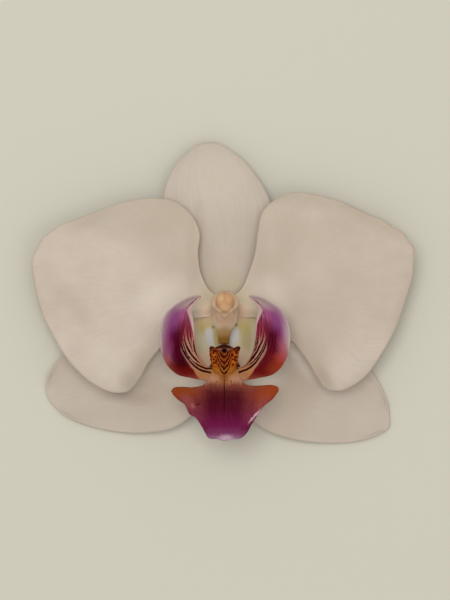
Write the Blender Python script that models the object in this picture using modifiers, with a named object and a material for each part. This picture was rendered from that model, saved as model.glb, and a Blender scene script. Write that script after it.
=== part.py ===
"""A moth orchid flower, picked and laid on its back, face up.

Units are metres. +Z is up, out of the face of the flower, and +Y runs to the top sepal.
The surface that the flower lies on is z = 0, and x = 0 is the flower's mirror plane.
Every number in a table of points is in millimetres and is scaled once, by MM.
"""

import math

import bmesh
import bpy
import numpy as np
from mathutils import Matrix, Vector

MM = 0.001

# Driving sizes, in millimetres
BLADE_THICKNESS = 0.7
LIP_THICKNESS = 0.7
SEAT_GAP = 0.3
CONTACT_DEPTH = 0.12
HUB_RADIUS = 2.6
HUB_Y = -2.6
HUB_BOTTOM_Z = 6.9
HUB_TOP_Z = 11.0
SEPAL_BASE_Z = 8.5
PETAL_BASE_Z = 10.1
COLUMN_TIP_Z = 19.0
PEDICEL_RADIUS = 1.5
OVARY_RADIUS = 2.05
PEDICEL_END_Y = 27.0
STEPS_PER_SPAN = 24

# Colours as linear RGB, from the photograph
WHITE_PETAL = (0.62, 0.50, 0.41)
SHADED_SEPAL = (0.56, 0.45, 0.37)
LIP_PURPLE = (0.16, 0.01, 0.05)
COLUMN_CREAM = (0.55, 0.42, 0.30)
CAP_PEACH = (0.50, 0.28, 0.13)
POLLEN_YELLOW = (0.75, 0.45, 0.06)
STEM_GREEN = (0.30, 0.36, 0.12)


def clear_scene():
    for obj in list(bpy.data.objects):
        bpy.data.objects.remove(obj)


def new_collection(name):
    collection = bpy.data.collections.new(name)
    bpy.context.scene.collection.children.link(collection)
    return collection


def material(name, colour, roughness):
    made = bpy.data.materials.new(name)
    made.use_nodes = True
    shader = made.node_tree.nodes["Principled BSDF"]
    shader.inputs["Base Color"].default_value = (*colour, 1.0)
    shader.inputs["Roughness"].default_value = roughness
    shader.inputs["Metallic"].default_value = 0.0
    return made


def smooth_line(points, measured=None):
    """A dense smooth curve through the given points, with STEPS_PER_SPAN points for each span.

    Only the first few values of a point, as many as measured says, are its place.
    The rest, such as a radius, are carried along.
    """
    given = np.array(points, float)
    place = given[:, :measured]
    steps = np.linalg.norm(np.diff(place, axis=0), axis=1)
    at = np.concatenate([[0.0], np.cumsum(steps)])
    slope = np.gradient(given, at, axis=0)
    dense = []
    for i, step in enumerate(steps):
        for t in np.linspace(0.0, 1.0, STEPS_PER_SPAN, endpoint=False):
            dense.append(
                (2 * t**3 - 3 * t**2 + 1) * given[i]
                + (t**3 - 2 * t**2 + t) * step * slope[i]
                + (3 * t**2 - 2 * t**3) * given[i + 1]
                + (t**3 - t**2) * step * slope[i + 1]
            )
    return np.array([*dense, given[-1]])


def spaced(line, count, measured=None):
    """count + 1 points spread evenly along a dense line."""
    lengths = np.linalg.norm(np.diff(line[:, :measured], axis=0), axis=1)
    run = np.concatenate([[0.0], np.cumsum(lengths)])
    even = np.linspace(0.0, run[-1], count + 1)
    return np.array([np.interp(even, run, column) for column in line.T]).T


def base_arc(start, end, count):
    """The foot of a blade, curved round the hub."""
    hub = np.array((0.0, HUB_Y))
    angle_a, angle_b = (math.atan2(*(np.array(p) - hub)[::-1]) for p in (start, end))
    if angle_b - angle_a > math.pi:
        angle_b -= 2 * math.pi
    if angle_a - angle_b > math.pi:
        angle_b += 2 * math.pi
    radius_a, radius_b = (np.linalg.norm(np.array(p) - hub) for p in (start, end))
    points = []
    for t in np.linspace(0.0, 1.0, count + 1):
        angle = (1 - t) * angle_a + t * angle_b
        radius = (1 - t) * radius_a + t * radius_b
        points.append(hub + radius * np.array((math.cos(angle), math.sin(angle))))
    return np.array(points)


def blade_plan(outline, rim_from, rim_to, rows, columns, sharp=False, curved_foot=True):
    """The plan of a blade as a grid of points: u runs from its foot to its rim, v from side a to side b.

    The outline starts at one end of the foot and ends at the other. Its points rim_from and
    rim_to part the two sides from the rim. The four edges are blended, so lines of equal v
    fan out from the foot as the veins do.
    """
    if sharp:
        a = smooth_line(outline[: rim_from + 1])
        rim = smooth_line(outline[rim_from : rim_to + 1])
        b = smooth_line(outline[rim_to:])
    else:
        whole = smooth_line(outline)
        a = whole[: STEPS_PER_SPAN * rim_from + 1]
        rim = whole[STEPS_PER_SPAN * rim_from : STEPS_PER_SPAN * rim_to + 1]
        b = whole[STEPS_PER_SPAN * rim_to :]
    a = spaced(a, rows)
    b = spaced(b[::-1], rows)
    rim = spaced(rim, columns)
    foot = spaced(np.array([a[0], b[0]]), columns)
    if curved_foot:
        foot = base_arc(a[0], b[0], columns)
    plan = np.zeros((rows + 1, columns + 1, 2))
    for i in range(rows + 1):
        u = i / rows
        for j in range(columns + 1):
            v = j / columns
            sides = (1 - v) * a[i] + v * b[i]
            ends = (1 - u) * foot[j] + u * rim[j]
            corners = (1 - u) * ((1 - v) * a[0] + v * b[0]) + u * ((1 - v) * a[-1] + v * b[-1])
            plan[i, j] = sides + ends - corners
    return plan


def blade_mesh(name, plan, height):
    """An open, triangulated surface over the plan, at the height that height(u, v) gives."""
    rows, columns = plan.shape[0] - 1, plan.shape[1] - 1
    bm = bmesh.new()
    bmesh.ops.create_grid(bm, x_segments=columns, y_segments=rows, size=1.0)
    for vert in bm.verts:
        v = (vert.co.x + 1) / 2
        u = (vert.co.y + 1) / 2
        x, y = plan[round(u * rows), round(v * columns)]
        vert.co = Vector((x, y, height(u, v))) * MM
    bmesh.ops.recalc_face_normals(bm, faces=bm.faces[:])
    bmesh.ops.triangulate(bm, faces=bm.faces[:], quad_method="SHORT_EDGE")
    for face in bm.faces:
        face.smooth = True
    mesh = bpy.data.meshes.new(name)
    bm.to_mesh(mesh)
    bm.free()
    return mesh


def add_object(name, mesh, collection, surface=None):
    obj = bpy.data.objects.new(name, mesh)
    collection.objects.link(obj)
    if surface:
        mesh.materials.append(surface)
    return obj


def thicken(obj, thickness):
    wall = obj.modifiers.new("thickness", "SOLIDIFY")
    wall.thickness = thickness * MM
    wall.offset = 0.0
    return obj


def apply_modifiers(obj):
    graph = bpy.context.evaluated_depsgraph_get()
    mesh = bpy.data.meshes.new_from_object(obj.evaluated_get(graph))
    obj.modifiers.clear()
    obj.data = mesh
    return obj


def rod_mesh(name, path, sides, rings, ribs=0, rib_depth=0.0, twist=0.0):
    """A closed rod along a path in a plane of constant x.

    Each point of the path is x, y, z, half width across the plane and half width in it.
    """
    line = spaced(smooth_line(path, measured=3), rings, measured=3)
    along = np.gradient(line[:, :3], axis=0)
    bm = bmesh.new()
    bmesh.ops.create_cone(
        bm, cap_ends=True, segments=sides, radius1=1.0, radius2=1.0, depth=1.0
    )
    upright = [e for e in bm.edges if abs(e.verts[0].co.z - e.verts[1].co.z) > 0.5]
    bmesh.ops.subdivide_edges(bm, edges=upright, cuts=rings - 1)
    for vert in bm.verts:
        ring = round((vert.co.z + 0.5) * rings)
        x, y, z, across, within = line[ring]
        tangent = Vector(along[ring]).normalized()
        side = tangent.cross(Vector((1, 0, 0)))
        angle = math.atan2(vert.co.y, vert.co.x)
        groove = 1 - rib_depth * (0.5 + 0.5 * math.cos(ribs * angle + twist * ring / rings))
        if not ribs:
            groove = 1.0
        vert.co = (
            Vector((x, y, z))
            + Vector((1, 0, 0)) * (math.cos(angle) * across * groove)
            + side * (math.sin(angle) * within * groove)
        ) * MM
    bmesh.ops.recalc_face_normals(bm, faces=bm.faces[:])
    for face in bm.faces:
        face.smooth = len(face.verts) == 4
    mesh = bpy.data.meshes.new(name)
    bm.to_mesh(mesh)
    bm.free()
    return mesh


def ellipsoid_mesh(name, centre, radii, around, high):
    bm = bmesh.new()
    place = Matrix.Translation(Vector(centre) * MM) @ Matrix.Diagonal((*(Vector(radii) * MM), 1.0))
    bmesh.ops.create_uvsphere(bm, u_segments=around, v_segments=high, radius=1.0, matrix=place)
    for face in bm.faces:
        face.smooth = True
    mesh = bpy.data.meshes.new(name)
    bm.to_mesh(mesh)
    bm.free()
    return mesh


def boolean(obj, operation, other=None, group=None):
    cut = obj.modifiers.new(operation.lower(), "BOOLEAN")
    cut.operation = operation
    cut.solver = "EXACT"
    if group:
        cut.operand_type = "COLLECTION"
        cut.collection = group
    else:
        cut.object = other
    return obj


def join_all(obj, pieces):
    """Unites obj with loose pieces, which are then removed."""
    group = bpy.data.collections.new(obj.name + "_pieces")
    bpy.context.scene.collection.children.link(group)
    for piece in pieces:
        for holder in list(piece.users_collection):
            holder.objects.unlink(piece)
        group.objects.link(piece)
    boolean(obj, "UNION", group=group)
    apply_modifiers(obj)
    for piece in pieces:
        bpy.data.objects.remove(piece)
    bpy.data.collections.remove(group)
    return obj


def floor_cutter(collection):
    """A slab whose top is the surface, which trims the low spots flat."""
    bpy.ops.mesh.primitive_cube_add(size=1.0, location=(0, 0, -5 * MM))
    cutter = bpy.context.object
    cutter.name = "surface_cutter"
    cutter.data.transform(Matrix.Diagonal((140 * MM, 120 * MM, 10 * MM, 1.0)))
    for holder in list(cutter.users_collection):
        holder.objects.unlink(cutter)
    collection.objects.link(cutter)
    cutter.hide_render = True
    cutter.display_type = "WIRE"
    return cutter


# Sepals: three plain blades behind the petals

DORSAL_OUTLINE = [(-2.1, -0.3), (-5.2, 3.0), (-8.8, 7.6), (-13.2, 13.8), (-15.9, 19.6), (-16.2, 25.1),
                  (-14.5, 31.1), (-11.0, 35.9), (-6.5, 39.3), (-2.6, 39.6), (3.1, 36.4), (7.4, 31.9),
                  (10.5, 27.1), (12.6, 21.5), (12.4, 16.0), (9.6, 9.4), (5.6, 3.4), (2.1, -0.3)]
DORSAL_RIM = (7, 10)


def dorsal_sepal_height(u, v):
    """Droops towards its tip, with its sides turned down either side of a keel."""
    droop = 1.2 * u + 3.6 * u**3
    sides = 1.5 * (2 * v - 1) ** 2 * math.sin(math.pi * min(1.0, 0.12 + 0.9 * u))
    return SEPAL_BASE_Z - droop - sides


LEFT_SEPAL_OUTLINE = [(-3.2, -3.2), (-9.0, -5.6), (-17.0, -7.8), (-27.0, -9.2), (-36.0, -11.4), (-42.8, -16.2),
                      (-46.8, -22.0), (-47.4, -25.0), (-46.2, -28.5), (-43.6, -31.6), (-38.3, -34.2),
                      (-32.1, -35.9), (-24.2, -36.7), (-17.1, -35.4), (-10.8, -32.7), (-6.8, -28.0),
                      (-4.8, -21.0), (-2.8, -13.6), (-0.5, -5.9)]
LEFT_SEPAL_RIM = (6, 9)

RIGHT_SEPAL_OUTLINE = [(3.2, -3.2), (9.0, -5.6), (17.0, -8.0), (27.0, -11.4), (34.0, -15.8), (39.2, -21.2),
                       (42.8, -29.0), (43.3, -34.0), (39.2, -37.0), (33.0, -39.1), (26.8, -39.4),
                       (18.9, -38.6), (12.7, -36.8), (7.7, -33.7), (5.2, -26.0), (4.0, -19.5), (2.6, -13.6),
                       (0.5, -5.9)]
RIGHT_SEPAL_RIM = (6, 8)
SEPAL_CONTACT_U = 0.86


def lateral_sepal_height(u, v):
    """A long shallow spoon that touches the surface a little short of its tip."""
    low = BLADE_THICKNESS / 2 - CONTACT_DEPTH
    left = max(0.0, 1 - u / SEPAL_CONTACT_U)
    past = max(0.0, u - SEPAL_CONTACT_U)
    spoon = 1.3 * (2 * v - 1) ** 2 * math.sin(0.5 * math.pi * u)
    return low + (SEPAL_BASE_Z - low) * left**1.7 + 30.0 * past**2 + spoon


# Petals: two broad fans in front of the sepals

LEFT_PETAL_OUTLINE = [(-2.4, -0.5), (-3.6, 0.4), (-6.0, 4.3), (-7.0, 10.5), (-6.6, 15.7), (-8.3, 19.9), (-12.5, 23.7),
                      (-19.0, 24.8), (-27.3, 23.5), (-36.0, 19.9), (-43.0, 17.3), (-48.1, 13.9), (-49.9, 9.6),
                      (-49.8, 3.0), (-48.1, -4.3), (-44.7, -11.3), (-39.5, -19.1), (-34.5, -23.5),
                      (-28.6, -25.9), (-25.2, -25.4), (-22.3, -22.2), (-19.7, -17.6), (-16.4, -13.6),
                      (-12.6, -9.6), (-8.6, -6.4), (-3.6, -5.7), (-2.4, -4.9)]
LEFT_PETAL_RIM = (6, 19)

RIGHT_PETAL_OUTLINE = [(2.4, -0.5), (3.6, 0.4), (6.5, 6.1), (7.8, 10.5), (8.6, 16.5), (9.6, 20.9), (12.9, 24.3),
                       (18.7, 26.4), (24.0, 25.7), (30.5, 24.2), (36.8, 21.2), (43.7, 18.3), (47.9, 14.6),
                       (49.3, 9.5), (48.9, 4.0), (47.2, -1.7), (44.7, -8.7), (41.0, -15.5), (36.2, -22.0),
                       (30.0, -25.3), (26.1, -24.7), (23.9, -21.7), (21.3, -17.3), (17.6, -12.6),
                       (12.6, -9.0), (8.6, -6.4), (3.6, -5.7), (2.4, -4.9)]
RIGHT_PETAL_RIM = (6, 19)


def petal_height(u, v):
    """Rises from the claw along a midrib, then falls to a softly fluted rim."""
    arch = 6.2 * u * (1 - u) + 1.2 * u * math.exp(-(((v - 0.42) / 0.16) ** 2))
    fall = 1.9 * u**2 + 1.3 * u**2 * (2 * v - 1) ** 2
    flutes = 0.6 * u**3 * math.sin(2 * math.pi * (2.6 * v + 0.1))
    return PETAL_BASE_Z + arch - fall + flutes


# Lip: one three-lobed piece with its callus

MIDLOBE_OUTLINE = [(-3.0, -18.6), (-3.9, -21.3), (-5.3, -23.4), (-8.2, -24.25), (-11.4, -24.2), (-13.7, -25.1),
                   (-13.3, -26.2), (-12.2, -27.3), (-10.6, -28.5), (-9.4, -30.3), (-7.4, -32.3), (-6.0, -34.2),
                   (-5.1, -35.9), (-4.2, -37.2), (-1.9, -37.5), (-0.1, -38.0), (1.7, -37.6), (4.4, -37.1),
                   (5.6, -35.9), (6.7, -34.0), (7.7, -32.4), (9.2, -30.1), (10.2, -28.9), (12.3, -27.2),
                   (13.9, -25.2), (12.9, -23.95), (10.1, -23.8), (7.3, -23.8), (5.1, -23.3), (3.8, -21.2),
                   (3.0, -18.6)]
MIDLOBE_RIM = (5, 24)

SIDE_LOBE_OUTLINE = [(3.0, -19.2), (4.9, -18.6), (6.2, -17.0), (7.3, -14.4), (7.7, -11.9), (7.9, -9.3), (8.3, -6.2),
                     (8.7, -4.1), (7.7, -2.4), (6.4, -1.2), (6.3, -0.7), (6.9, -0.5), (9.2, -1.0), (12.2, -2.6),
                     (15.0, -5.2), (16.4, -8.7), (16.6, -12.7), (16.0, -15.8), (14.5, -18.7), (12.3, -20.7),
                     (8.6, -21.7), (6.4, -22.2), (4.2, -22.8)]
SIDE_LOBE_RIM = (9, 11)


def midlobe_height(u, v):
    """A plate with a fold along its middle: the wings fall back a little, and the tip turns up."""
    wings = 2.0 * abs(2 * v - 1) ** 1.5 * u
    groove = 0.45 * math.exp(-(((v - 0.5) / 0.05) ** 2)) * u * (1 - u)
    return 14.2 + 3.9 * u - 1.1 * u**3 - wings - groove


def side_lobe_height(u, v):
    """A crescent cup that stands up round the column: u runs from its foot to its tip, v from its inner edge out."""
    inner = 1.2 * u + 3.4 * u**2
    outer = 5.2 * math.sin(0.5 * math.pi * min(1.0, 1.7 * u)) - 0.6 * max(0.0, u - 0.59)
    hollow = 1.7 * math.sin(math.pi * v) * math.sin(math.pi * u) ** 0.7
    return 14.2 + (1 - v**1.5) * inner + v**1.5 * outer - hollow


CLAW_PATH = [(0, -13.75, 10.2, 1.3, 0.75), (0, -15.2, 11.3, 2.2, 1.0), (0, -18.0, 13.2, 3.6, 1.1),
             (0, -21.0, 13.9, 4.6, 0.8), (0, -23.8, 14.5, 4.2, 0.45)]
CALLUS_PATH = [(0, -13.4, 15.4, 2.6, 1.8), (0, -14.6, 15.2, 3.5, 2.6), (0, -16.2, 15.0, 3.6, 2.7),
               (0, -18.0, 14.9, 3.4, 2.0), (0, -19.6, 14.8, 2.7, 1.3), (0, -21.2, 14.6, 1.2, 0.6)]
HORN_TIP = (3.7, -13.8, 19.4)


def horn_mesh(name, side):
    """One of the two teeth at the top of the callus."""
    x, y, z = HORN_TIP
    path = [(side * (x - 1.0), y - 0.9, z - 2.9, 0.95, 0.85), (side * (x - 0.4), y - 0.3, z - 1.3, 0.6, 0.6),
            (side * x, y, z, 0.25, 0.25)]
    return rod_mesh(name, path, sides=8, rings=4)


def build_lip(collection, surface):
    plan = blade_plan(MIDLOBE_OUTLINE, *MIDLOBE_RIM, rows=10, columns=26, sharp=True, curved_foot=False)
    middle = blade_mesh("lip", plan, midlobe_height)
    lip = thicken(add_object("lip", middle, collection, surface), LIP_THICKNESS)
    apply_modifiers(lip)
    pieces = []
    for name, side in (("left", -1), ("right", 1)):
        outline = [(side * x, y) for x, y in SIDE_LOBE_OUTLINE]
        plan = blade_plan(outline, *SIDE_LOBE_RIM, rows=20, columns=9, sharp=True, curved_foot=False)
        lobe = blade_mesh("side_lobe_" + name, plan, side_lobe_height)
        piece = thicken(add_object("side_lobe_" + name, lobe, collection), LIP_THICKNESS)
        pieces.append(apply_modifiers(piece))
        pieces.append(add_object("horn_" + name, horn_mesh("horn_" + name, side), collection))
    pieces.append(add_object("claw", rod_mesh("claw", CLAW_PATH, sides=16, rings=8), collection))
    pieces.append(add_object("callus", rod_mesh("callus", CALLUS_PATH, sides=16, rings=7), collection))
    return join_all(lip, pieces)


# Column, anther cap and pollinarium

COLUMN_PATH = [(0, -13.1, 10.2, 1.6, 0.8), (0, -11.6, 10.25, 1.85, 1.1), (0, -9.8, 10.5, 2.3, 1.5),
               (0, -8.0, 11.1, 3.0, 1.9), (0, -5.9, 12.4, 3.25, 2.2), (0, -4.2, 14.4, 3.3, 2.3),
               (0, -3.0, 16.4, 3.4, 2.4), (0, -2.3, 18.0, 3.6, 2.6), (0, -2.3, COLUMN_TIP_Z, 3.4, 2.4)]
STIGMA = {"centre": (0, -6.5, 15.6), "radii": (1.5, 1.3, 1.7)}
CAP_CENTRE = (0, -2.1, COLUMN_TIP_Z + SEAT_GAP)
CAP_RADII = (2.75, 2.6, 2.2)
CAP_WALL = 0.6
CAP_BEAK = 0.6
POLLINIUM_RADII = (0.55, 0.75, 0.5)
POLLINIUM_OFFSET = 0.62


def build_column(collection, surface):
    column = add_object("column", rod_mesh("column", COLUMN_PATH, sides=20, rings=16), collection, surface)
    hub_path = [(0, HUB_Y, HUB_BOTTOM_Z, HUB_RADIUS - 0.3, HUB_RADIUS - 0.3),
                (0, HUB_Y, SEPAL_BASE_Z, HUB_RADIUS, HUB_RADIUS),
                (0, HUB_Y, HUB_TOP_Z, HUB_RADIUS - 0.2, HUB_RADIUS - 0.2)]
    hub = add_object("hub", rod_mesh("hub", hub_path, sides=20, rings=4), collection)
    join_all(column, [hub])
    scoop = add_object("scoop", ellipsoid_mesh("scoop", around=16, high=10, **STIGMA), collection)
    boolean(column, "DIFFERENCE", scoop)
    apply_modifiers(column)
    bpy.data.objects.remove(scoop)
    return column


def build_anther_cap(collection, surface):
    """A thin helmet, open below, with a small beak over the stigma."""
    bm = bmesh.new()
    bmesh.ops.create_uvsphere(bm, u_segments=20, v_segments=12, radius=1.0)
    low = [v for v in bm.verts if v.co.z < -0.01]
    bmesh.ops.delete(bm, geom=low, context="VERTS")
    for vert in bm.verts:
        beak = CAP_BEAK * max(0.0, -vert.co.y - 0.75) / 0.25
        x, y, z = (vert.co[i] * CAP_RADII[i] + CAP_CENTRE[i] for i in range(3))
        vert.co = Vector((x, y - beak, z)) * MM
    for face in bm.faces:
        face.smooth = True
    mesh = bpy.data.meshes.new("anther_cap")
    bm.to_mesh(mesh)
    bm.free()
    cap = thicken(add_object("anther_cap", mesh, collection, surface), CAP_WALL)
    cap.modifiers["thickness"].offset = -1.0
    return cap


def build_pollinarium(collection, surface):
    """Two waxy pollen lumps on a strap, under the cap, with the sticky disc at the strap's front end."""
    lift = COLUMN_TIP_Z + SEAT_GAP
    strap_path = [(0, -1.8, lift + 0.3, 0.45, 0.22), (0, -3.0, lift + 0.3, 0.4, 0.22),
                  (0, -4.0, lift + 0.3, 0.6, 0.25)]
    strap = add_object("pollinarium", rod_mesh("pollinarium", strap_path, sides=8, rings=4), collection, surface)
    lumps = []
    for side in (-1, 1):
        centre = (side * POLLINIUM_OFFSET, -1.8, lift + POLLINIUM_RADII[2])
        mesh = ellipsoid_mesh("pollinium", centre, POLLINIUM_RADII, around=10, high=8)
        lumps.append(add_object("pollinium", mesh, collection))
    return join_all(strap, lumps)


# Ovary and pedicel: one ribbed stalk, bent flat under the top sepal

PEDICEL_PATH = [
    (0, HUB_Y, HUB_BOTTOM_Z - SEAT_GAP, OVARY_RADIUS, OVARY_RADIUS),
    (0, HUB_Y + 0.1, 5.2, OVARY_RADIUS, OVARY_RADIUS),
    (0, -1.3, 3.0, OVARY_RADIUS, OVARY_RADIUS),
    (0, 1.2, OVARY_RADIUS, OVARY_RADIUS, OVARY_RADIUS),
    (0, 8.0, 1.85, 1.85, 1.85),
    (0, 15.0, PEDICEL_RADIUS, PEDICEL_RADIUS, PEDICEL_RADIUS),
    (0, 23.0, PEDICEL_RADIUS, PEDICEL_RADIUS, PEDICEL_RADIUS),
    (0, PEDICEL_END_Y, 1.8, 1.85, 1.85),
]


def build_pedicel(collection, surface):
    mesh = rod_mesh("pedicel", PEDICEL_PATH, sides=24, rings=26, ribs=6, rib_depth=0.08, twist=math.pi)
    mesh.transform(Matrix.Translation((0, 0, -CONTACT_DEPTH * MM)))
    return add_object("pedicel", mesh, collection, surface)


def main():
    clear_scene()
    flower = new_collection("orchid_flower")
    cutters = new_collection("cutters")
    floor = floor_cutter(cutters)
    sepal_white = material("sepal_white", SHADED_SEPAL, 0.5)
    petal_white = material("petal_white", WHITE_PETAL, 0.5)

    sepals = (
        ("dorsal_sepal", DORSAL_OUTLINE, DORSAL_RIM, dorsal_sepal_height),
        ("lateral_sepal_left", LEFT_SEPAL_OUTLINE, LEFT_SEPAL_RIM, lateral_sepal_height),
        ("lateral_sepal_right", RIGHT_SEPAL_OUTLINE, RIGHT_SEPAL_RIM, lateral_sepal_height),
    )
    for name, outline, rim, height in sepals:
        mesh = blade_mesh(name, blade_plan(outline, *rim, rows=18, columns=12), height)
        sepal = thicken(add_object(name, mesh, flower, sepal_white), BLADE_THICKNESS)
        if name.startswith("lateral"):
            boolean(sepal, "DIFFERENCE", floor)

    petals = (
        ("petal_left", LEFT_PETAL_OUTLINE, LEFT_PETAL_RIM),
        ("petal_right", RIGHT_PETAL_OUTLINE, RIGHT_PETAL_RIM),
    )
    for name, outline, rim in petals:
        mesh = blade_mesh(name, blade_plan(outline, *rim, rows=13, columns=26), petal_height)
        thicken(add_object(name, mesh, flower, petal_white), BLADE_THICKNESS)

    build_lip(flower, material("lip_purple", LIP_PURPLE, 0.4))
    build_column(flower, material("column_cream", COLUMN_CREAM, 0.45))
    build_anther_cap(flower, material("cap_peach", CAP_PEACH, 0.5))
    build_pollinarium(flower, material("pollen_yellow", POLLEN_YELLOW, 0.35))
    pedicel = build_pedicel(flower, material("stem_green", STEM_GREEN, 0.5))
    boolean(pedicel, "DIFFERENCE", floor)


main()
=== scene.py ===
import math

import bmesh
import bpy
import numpy as np
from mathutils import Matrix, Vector, noise


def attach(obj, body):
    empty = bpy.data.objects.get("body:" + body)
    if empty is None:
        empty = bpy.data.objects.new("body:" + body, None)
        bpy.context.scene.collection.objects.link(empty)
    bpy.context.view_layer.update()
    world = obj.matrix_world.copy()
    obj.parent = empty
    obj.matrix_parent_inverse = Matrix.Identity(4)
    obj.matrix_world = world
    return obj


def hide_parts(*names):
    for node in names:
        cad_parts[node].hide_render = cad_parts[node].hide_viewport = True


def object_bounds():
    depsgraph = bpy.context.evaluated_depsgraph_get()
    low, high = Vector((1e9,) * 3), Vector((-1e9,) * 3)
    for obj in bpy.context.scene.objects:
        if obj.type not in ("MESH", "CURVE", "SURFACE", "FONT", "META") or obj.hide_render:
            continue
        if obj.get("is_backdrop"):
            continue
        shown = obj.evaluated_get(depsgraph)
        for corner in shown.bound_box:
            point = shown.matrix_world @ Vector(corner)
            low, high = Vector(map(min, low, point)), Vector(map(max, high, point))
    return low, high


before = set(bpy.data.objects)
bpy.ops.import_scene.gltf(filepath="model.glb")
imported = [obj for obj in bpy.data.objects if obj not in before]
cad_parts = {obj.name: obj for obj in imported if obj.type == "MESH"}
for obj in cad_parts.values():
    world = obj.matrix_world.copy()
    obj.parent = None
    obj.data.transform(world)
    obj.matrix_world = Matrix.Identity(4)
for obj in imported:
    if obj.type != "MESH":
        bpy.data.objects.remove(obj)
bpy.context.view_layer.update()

# Stalk: the ovary and pedicel, one grown rod of green tissue with six twisted ribs.
# Its top end carries the whole flower. Picked, it is bent flat under the top sepal,
# and its far end is the pale, slightly browned face left by the cut.

# Sizes and places are in millimetres, which MM turns to metres
MM = 0.001
STEPS_PER_SPAN = 24
# How much of a piece's underside is flattened where it rests on the surface
CONTACT_DEPTH = 0.12
# Each point of a rod's path is x, y, z, half width across its plane and half width in it
PEDICEL_PATH = [
    (0, -2.6, 6.6, 2.05, 2.05), (0, -2.5, 5.2, 2.05, 2.05), (0, -1.3, 3.0, 2.05, 2.05),
    (0, 1.2, 2.05, 2.05, 2.05), (0, 8.0, 1.85, 1.85, 1.85), (0, 15.0, 1.5, 1.5, 1.5),
    (0, 23.0, 1.5, 1.5, 1.5), (0, 27.0, 1.8, 1.85, 1.85),
]
PEDICEL_RIBS = 6
PEDICEL_RIB_DEPTH = 0.08
CUT_Y = 27.0
STALK_GREEN = "#7f8a4c"
STALK_PALE = "#a7a56c"
STALK_BLUSH = "#7a5446"
STALK_CUT = "#b9a878"
STALK_CUT_RIM = "#7b5b34"
CELL_IOR = 1.4
GLOW_REACH = 0.5
# Settings that many nodes share: a soft step between two values, and a mix of two colours
SOFT_STEP = {"interpolation_type": "SMOOTHSTEP"}
COLOUR_MIX = {"data_type": "RGBA", "out": 2}


def linear(code):
    """An sRGB hex colour as linear red, green, blue and alpha."""
    parts = [int(code[i:i + 2], 16) / 255 for i in (1, 3, 5)]
    return (*(p / 12.92 if p <= 0.04045 else ((p + 0.055) / 1.055) ** 2.4 for p in parts), 1.0)


def add_node(surface, kind, links=None, values=None, stops=None, out=0, **settings):
    """Adds a node with its settings, socket values, the sockets that feed it, and a ramp's stops.

    The first two stops are the ramp's lowest and highest. It gives back the output that out
    names, which is the first one where nothing else is said.
    """
    made = surface.node_tree.nodes.new("ShaderNode" + kind)
    for name, value in settings.items():
        setattr(made, name, value)
    for socket, value in (values or {}).items():
        made.inputs[socket].default_value = value
    for socket, source in (links or {}).items():
        surface.node_tree.links.new(source, made.inputs[socket])
    for i, (at, code) in enumerate(stops or []):
        stop = made.color_ramp.elements[i] if i < 2 else made.color_ramp.elements.new(at)
        stop.position = at
        stop.color = linear(code)
    return made.outputs[out]


def plant_skin(name, roughness, glow, gloss=0.4):
    """A Principled material for living tissue, and its place in millimetres.

    Some of the light enters the wet cells and comes out again a little way off. The glow is
    how much of it does.
    """
    surface = bpy.data.materials.new(name)
    surface.use_nodes = True
    body = surface.node_tree.nodes["Principled BSDF"]
    for socket, value in (("Roughness", roughness), ("IOR", CELL_IOR),
                          ("Specular IOR Level", gloss), ("Subsurface Weight", glow),
                          ("Subsurface Scale", GLOW_REACH * MM),
                          ("Subsurface Radius", (1.0, 0.6, 0.4))):
        body.inputs[socket].default_value = value
    spot = add_node(surface, "TexCoord", out="Object")
    place = add_node(surface, "Mapping", {"Vector": spot}, {"Scale": (1000, 1000, 1000)})
    return surface, body, place


def clouded(surface, where, scale, detail, low, high):
    """A colour that drifts between two, in clouds as fine as scale says."""
    cloud = add_node(surface, "TexNoise", {"Vector": where}, {"Scale": scale, "Detail": detail})
    return add_node(surface, "ValToRGB", {"Fac": cloud}, stops=[(0.3, low), (0.7, high)])


def washed(surface, under, over, field, low, high, strength=1.0, mask=None, soft=True):
    """Lays a colour, a hex value or a socket, over another.

    None of it is laid where a field is at low and its whole strength where it is at high,
    and a mask can keep it off some places.
    """
    amount = add_node(surface, "MapRange", {"Value": field},
                      {"From Min": low, "From Max": high, "To Max": strength},
                      **(SOFT_STEP if soft else {}))
    if mask is not None:
        amount = add_node(surface, "Math", {0: amount, 1: mask}, operation="MULTIPLY")
    if isinstance(over, str):
        return add_node(surface, "Mix", {0: amount, 6: under}, {7: linear(over)}, **COLOUR_MIX)
    return add_node(surface, "Mix", {0: amount, 6: under, 7: over}, **COLOUR_MIX)


def fine_relief(surface, body, where, scale, detail, strength, depth):
    """Fine bumps over a skin, of a depth in millimetres, where its cells stand up unevenly."""
    cells = add_node(surface, "TexNoise", {"Vector": where}, {"Scale": scale, "Detail": detail})
    relief = add_node(surface, "Bump", {"Height": cells},
                      {"Strength": strength, "Distance": depth * MM})
    surface.node_tree.links.new(relief, body.inputs["Normal"])


def smooth_line(points, measured=None):
    """A dense smooth curve through points.

    The first few values of each, as many as measured says, are its place.
    """
    given = np.array(points, float)
    steps = np.linalg.norm(np.diff(given[:, :measured], axis=0), axis=1)
    at = np.concatenate([[0.0], np.cumsum(steps)])
    slope = np.gradient(given, at, axis=0)
    dense = []
    for i, step in enumerate(steps):
        for t in np.linspace(0.0, 1.0, STEPS_PER_SPAN, endpoint=False):
            dense.append((2 * t**3 - 3 * t**2 + 1) * given[i]
                         + (t**3 - 2 * t**2 + t) * step * slope[i]
                         + (3 * t**2 - 2 * t**3) * given[i + 1]
                         + (t**3 - t**2) * step * slope[i + 1])
    return np.array([*dense, given[-1]])


def spaced(line, count, measured=None):
    """count + 1 points spread evenly along a dense line."""
    lengths = np.linalg.norm(np.diff(line[:, :measured], axis=0), axis=1)
    run = np.concatenate([[0.0], np.cumsum(lengths)])
    even = np.linspace(0.0, run[-1], count + 1)
    return np.array([np.interp(even, run, column) for column in line.T]).T


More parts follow.
